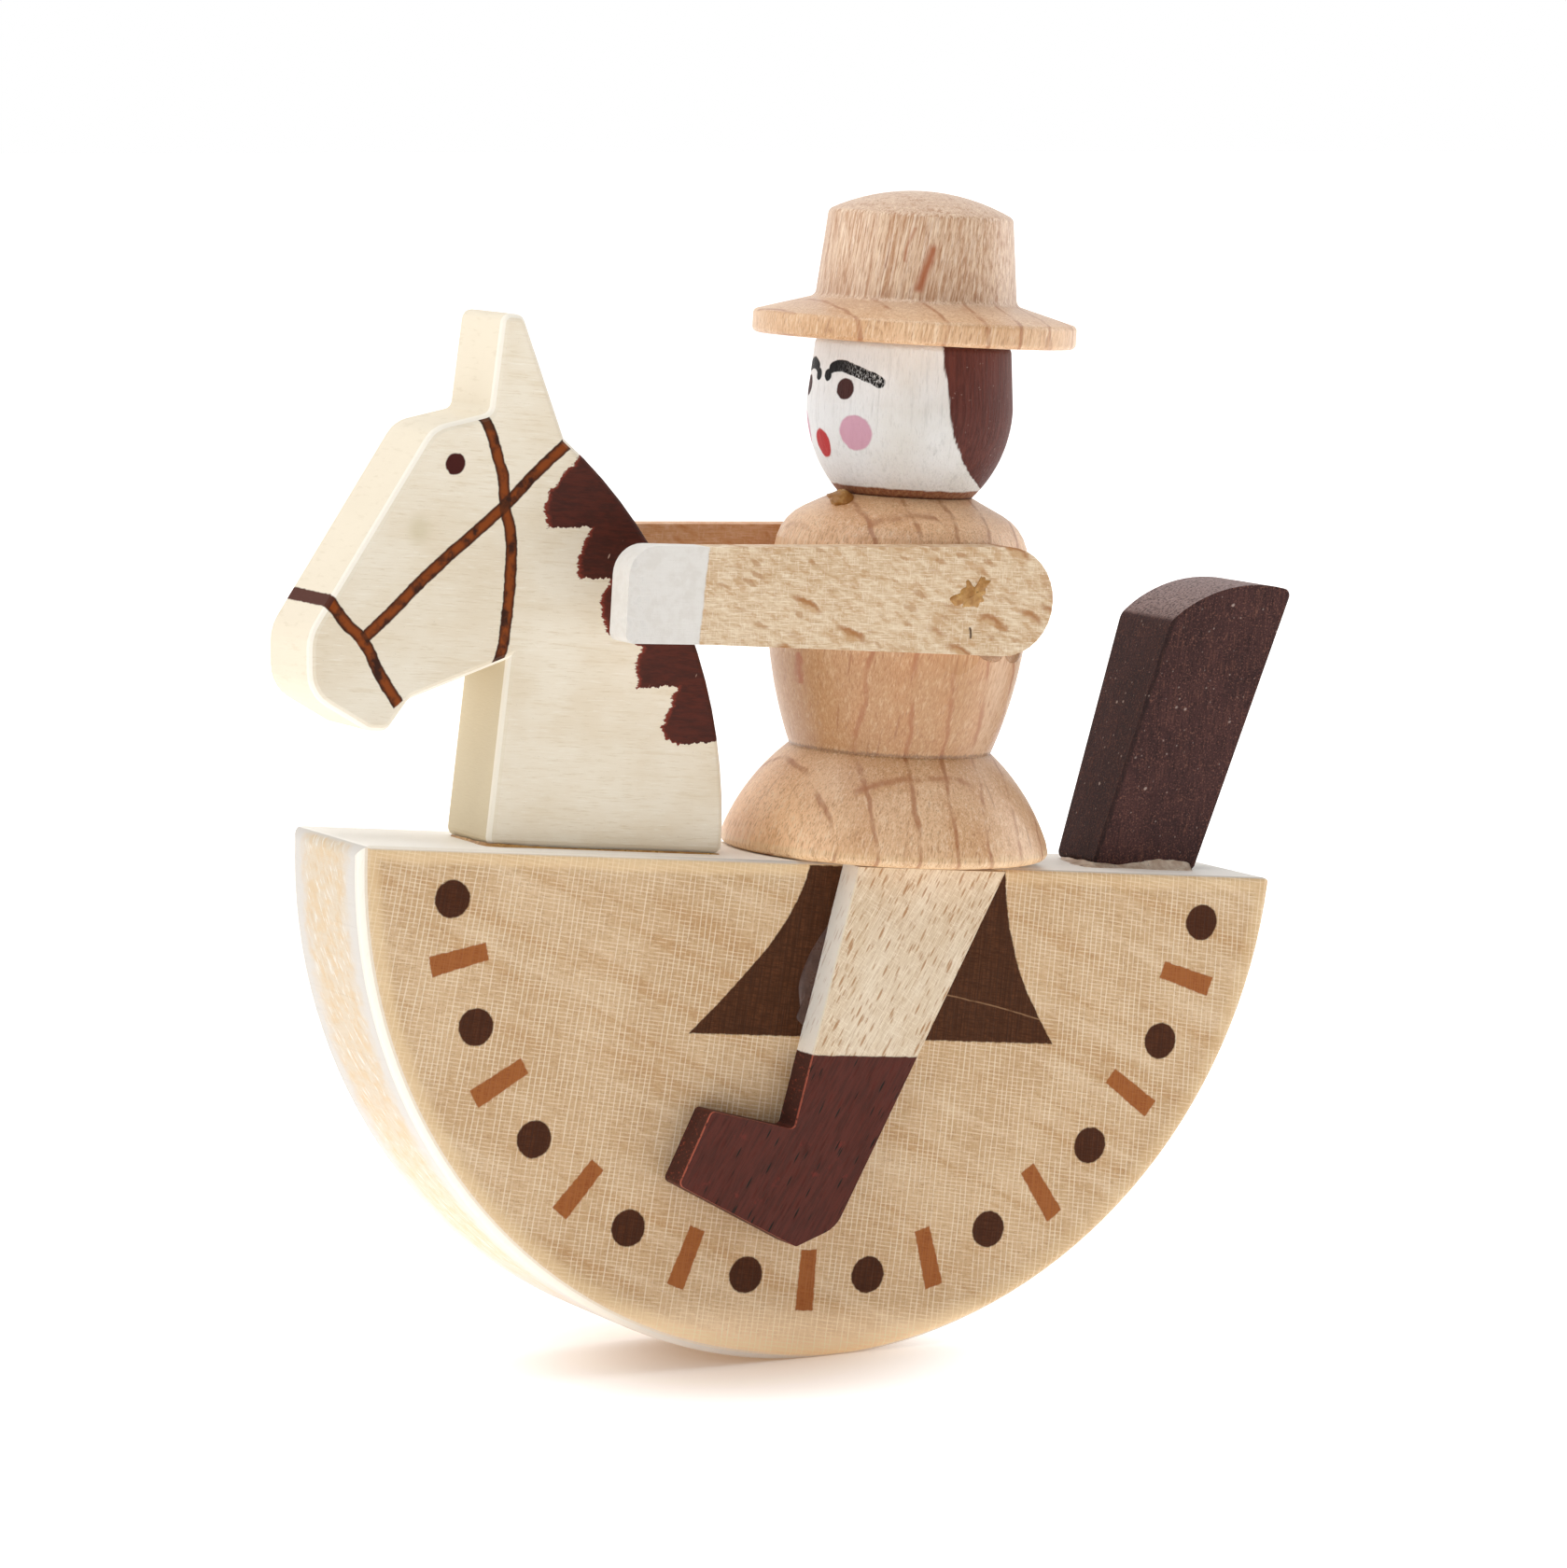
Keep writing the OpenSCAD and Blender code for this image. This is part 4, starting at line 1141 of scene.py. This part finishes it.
def add_drop(name, to_row, centre, radii, material):
    """A bead of glue, uneven all round."""
    made = bmesh.new()
    bmesh.ops.create_icosphere(made, subdivisions=4, radius=1.0)
    for vertex in made.verts:
        direction = vertex.co.normalized()
        push = 1 + uneven(direction, DROP_BUMPS, DROP_SHIFT) + uneven(direction, DROP_GRAINS)
        vertex.co = Vector(centre) + Vector([direction[axis] * push * radii[axis] for axis in range(3)])
    add_glue(name, made, to_row, material)


# Where the glue shows, in the board's or the rider's frame
LEG_FILM = [
    (0.3, 41.0), (-0.6, 40.0), (-1.6, 38.4), (-2.2, 37.0), (-2.6, 35.7), (-2.7, 34.8), (-2.5, 33.6),
    (-2.4, 32.9), (-2.6, 31.9), (-1.4, 31.3), (-0.3, 33.5), (0.4, 36.5), (0.9, 39.5),
]
SPOT_ON_ARM = [
    (-2.6, 24.9), (-1.9, 25.5), (-1.3, 26.3), (-0.6, 25.9), (0.2, 27.0), (0.7, 26.3),
    (0.5, 25.4), (0.5, 24.6), (-0.3, 24.1), (-1.2, 24.3), (-2.3, 24.0),
]
UNDER_ARM_FRONT = [(1.1, 20.0), (2.0, 19.4), (3.1, 18.9), (4.2, 18.7), (5.2, 19.0), (5.6, 20.0)]
UNDER_ARM_REAR = [(5.4, 20.0), (5.7, 19.2), (6.6, 18.6), (7.8, 18.5), (8.9, 18.9), (9.6, 20.0)]
NECK_DROP = (-7.4, -1.3, 32.7)
NECK_DROP_R = (1.2, 1.3, 0.85)
ARM_FACE_Y = -14.8
TORSO_WAIST_R = 9.4
TORSO_TOP_R = 12.2
TORSO_TOP_Z = 25.6
TORSO_BOW = 0.8
# Lines of glue at a foot, from its front round its near front corner and along its near side
TAIL_CORNER = (TAIL_FRONT_X, -TAIL_FOOT_THICK / 2)
TAIL_LINE = [
    (0.0, 5.4, 0.3, 0.25), (0.0, 2.7, 0.9, 0.35), (0.0, 0.3, 1.2, 0.4), (0.3, 0.0, 1.1, 0.4),
    (3.0, 0.0, 0.7, 0.3), (5.5, 0.0, 0.8, 0.7), (8.0, 0.0, 1.0, 1.0), (10.9, 0.0, 0.8, 0.7),
]
NECK_CORNER = (NECK_FRONT_X, -HORSE_THICK / 2)
NECK_LINE = [
    (0.0, 7.55, 0.12, 0.15), (0.0, 3.55, 0.2, 0.22), (0.0, 0.8, 0.25, 0.25), (0.8, 0.0, 0.3, 0.28),
    (5.0, 0.0, 0.14, 0.15), (9.0, 0.0, 0.12, 0.1), (20.0, 0.0, 0.16, 0.14), (23.5, 0.0, 0.1, 0.1),
]


def torso_side(x, z):
    """The near side of the torso, between the waist and the shoulders."""
    share = (z - WAIST_Z) / (TORSO_TOP_Z - WAIST_Z)
    radius = TORSO_WAIST_R + (TORSO_TOP_R - TORSO_WAIST_R) * share + 4 * TORSO_BOW * share * (1 - share)
    return -math.sqrt(radius ** 2 - x ** 2)


def add_glue_marks():
    """Films, a bead and lines of glue that squeezed out of the joints."""
    dark = glue("glue_dark", (88, 62, 52), (72, 48, 40), 0.0)
    amber = glue("glue_amber", (222, 172, 98), (188, 130, 60), 0.35)
    pale = glue("glue_pale", (206, 160, 116), (184, 136, 94), 0.4)
    milky = glue("glue_milky", (230, 212, 192), (200, 172, 148), 0.2)
    add_film("leg_glue_film", BOARD_TO_ROW, LEG_FILM, -ROCKER_THICK / 2, 0.14, dark)
    add_film("arm_glue_spot", RIDER_TO_ROW, SPOT_ON_ARM, ARM_FACE_Y, 0.08, amber, 0.5)
    add_film("under_arm_glue_front", RIDER_TO_ROW, UNDER_ARM_FRONT, torso_side, 0.1, pale)
    add_film("under_arm_glue_rear", RIDER_TO_ROW, UNDER_ARM_REAR, torso_side, 0.12, pale)
    add_drop("neck_glue_drop", RIDER_TO_ROW, NECK_DROP, NECK_DROP_R, amber)
    add_fillet("tail_glue_line", TAIL_CORNER, TAIL_LINE, milky)
    add_fillet("neck_glue_line", NECK_CORNER, NECK_LINE, amber)


# Camera, in the row frame
CAMERA_PLACE = (-274.31, -500.03, 124.41)
CAMERA_TURN = -28.61
CAMERA_DIP = 7.188
CAMERA_ROLL = 0.667
CAMERA_LENS = 142.684
SENSOR = 36.0
# The nearest and the farthest distance that it sees, in metres
CAMERA_CLIP = (0.01, 20.0)


def add_camera():
    data = bpy.data.cameras.new("camera")
    data.lens = CAMERA_LENS
    data.sensor_width = SENSOR
    data.clip_start, data.clip_end = CAMERA_CLIP
    camera = add_object("camera", data)
    camera.matrix_world = (
        Matrix.Translation(Vector(CAMERA_PLACE) * MM)
        @ Matrix.Rotation(math.radians(CAMERA_TURN), 4, "Z")
        @ Matrix.Rotation(math.radians(90 - CAMERA_DIP), 4, "X")
        @ Matrix.Rotation(math.radians(CAMERA_ROLL), 4, "Z")
    )
    bpy.context.scene.camera = camera


# The floor glows a little, which keeps it white to the horizon: its strength near the toy and far off
GLOW_NEAR = 0.175
GLOW_FAR = 0.7
# Metres from the middle of the toy's shadow: between the two distances the glow grows to its full
# strength, and the wood's warm light on the floor turns white.
GLOW_REACH = (0.006, 0.034)
WARM_REACH = (0.006, 0.024)
SHADOW_MIDDLE = (-0.009, -0.002, 0.0)
# Colours in linear light
GLOW_WARM = (1.0, 0.62, 0.36, 1.0)
GLOW_WHITE = (1.0, 0.99, 0.98, 1.0)
FLOOR_COLOUR = (0.84, 0.82, 0.8, 1.0)
FLOOR_ROUGH = 0.9
# Half the floor's width, in metres
FLOOR_HALF = 4.0


def floor_white():
    g = Paint("floor_white")
    reach = g.node("ShaderNodeVectorMath", operation="DISTANCE")
    g.put(reach.inputs[0], g.position.outputs["Object"])
    g.put(reach.inputs[1], SHADOW_MIDDLE)
    away = g.rise(reach.outputs["Value"], *GLOW_REACH)
    cool = g.rise(reach.outputs["Value"], *WARM_REACH)
    g.fill(g.shader, Base_Color=FLOOR_COLOUR, Roughness=FLOOR_ROUGH)
    g.fill(g.shader, Emission_Color=g.mix(GLOW_WARM, GLOW_WHITE, cool))
    g.fill(g.shader, Emission_Strength=away * (GLOW_FAR - GLOW_NEAR) + GLOW_NEAR)
    return g.material


def add_floor():
    mesh = bpy.data.meshes.new("floor")
    corners = [(x * FLOOR_HALF, y * FLOOR_HALF, 0) for x, y in ((-1, -1), (1, -1), (1, 1), (-1, 1))]
    mesh.from_pydata(corners, [], [(0, 1, 2, 3)])
    mesh.materials.append(floor_white())
    floor = add_object("floor", mesh)


# The studio is seen as pure white. It lights the toy as a white sweep behind it and a darker room in
# front. The light turns from one to the other between the two values of a direction's y in SWEEP_Y.
SEEN_WHITE = 1.0
LIGHT_BEHIND = 0.95
LIGHT_IN_FRONT = 0.28
SWEEP_Y = (-0.7, 0.5)
# Square lamps that look at the middle of the toy: name, place, size and power, in metres and watts
TOY_MIDDLE = (0.0, 0.0, 0.05)
SOFTBOXES = [
    ("left_softbox", (-0.72, 0.08, 0.42), 0.5, 0.95),
    ("right_softbox", (0.75, 0.0, 0.3), 0.5, 1.3),
    ("top_softbox", (-0.15, -0.05, 0.9), 0.8, 3.0),
]


def add_world():
    world = bpy.data.worlds.new("studio")
    world.use_nodes = True
    g = Nodes(world.node_tree)
    parts = g.node("ShaderNodeSeparateXYZ")
    g.put(parts.inputs[0], g.node("ShaderNodeTexCoord").outputs["Generated"])
    sweep = g.node("ShaderNodeMapRange", interpolation_type="SMOOTHSTEP")
    g.fill(sweep, Value=parts.outputs["Y"], From_Min=SWEEP_Y[0], From_Max=SWEEP_Y[1])
    g.fill(sweep, To_Min=LIGHT_IN_FRONT, To_Max=LIGHT_BEHIND)
    seen = g.node("ShaderNodeLightPath").outputs["Is Camera Ray"]
    strength = g.node("ShaderNodeMapRange")
    g.fill(strength, Value=seen, To_Min=sweep.outputs["Result"], To_Max=SEEN_WHITE)
    background = g.tree.nodes["Background"]
    g.fill(background, Color=(1.0, 1.0, 1.0, 1.0), Strength=strength.outputs["Result"])
    bpy.context.scene.world = world


def light_studio():
    bpy.context.scene.view_settings.view_transform = "Standard"
    add_world()
    for name, place, size, power in SOFTBOXES:
        data = bpy.data.lights.new(name, "AREA")
        data.shape = "SQUARE"
        data.size = size
        data.energy = power
        lamp = add_object(name, data)
        lamp.location = place
        lamp.rotation_euler = (Vector(TOY_MIDDLE) - Vector(place)).to_track_quat("-Z", "Y").to_euler()


dress_nodes()
ease_edges()
add_glue_marks()
add_camera()
add_floor()
light_studio()
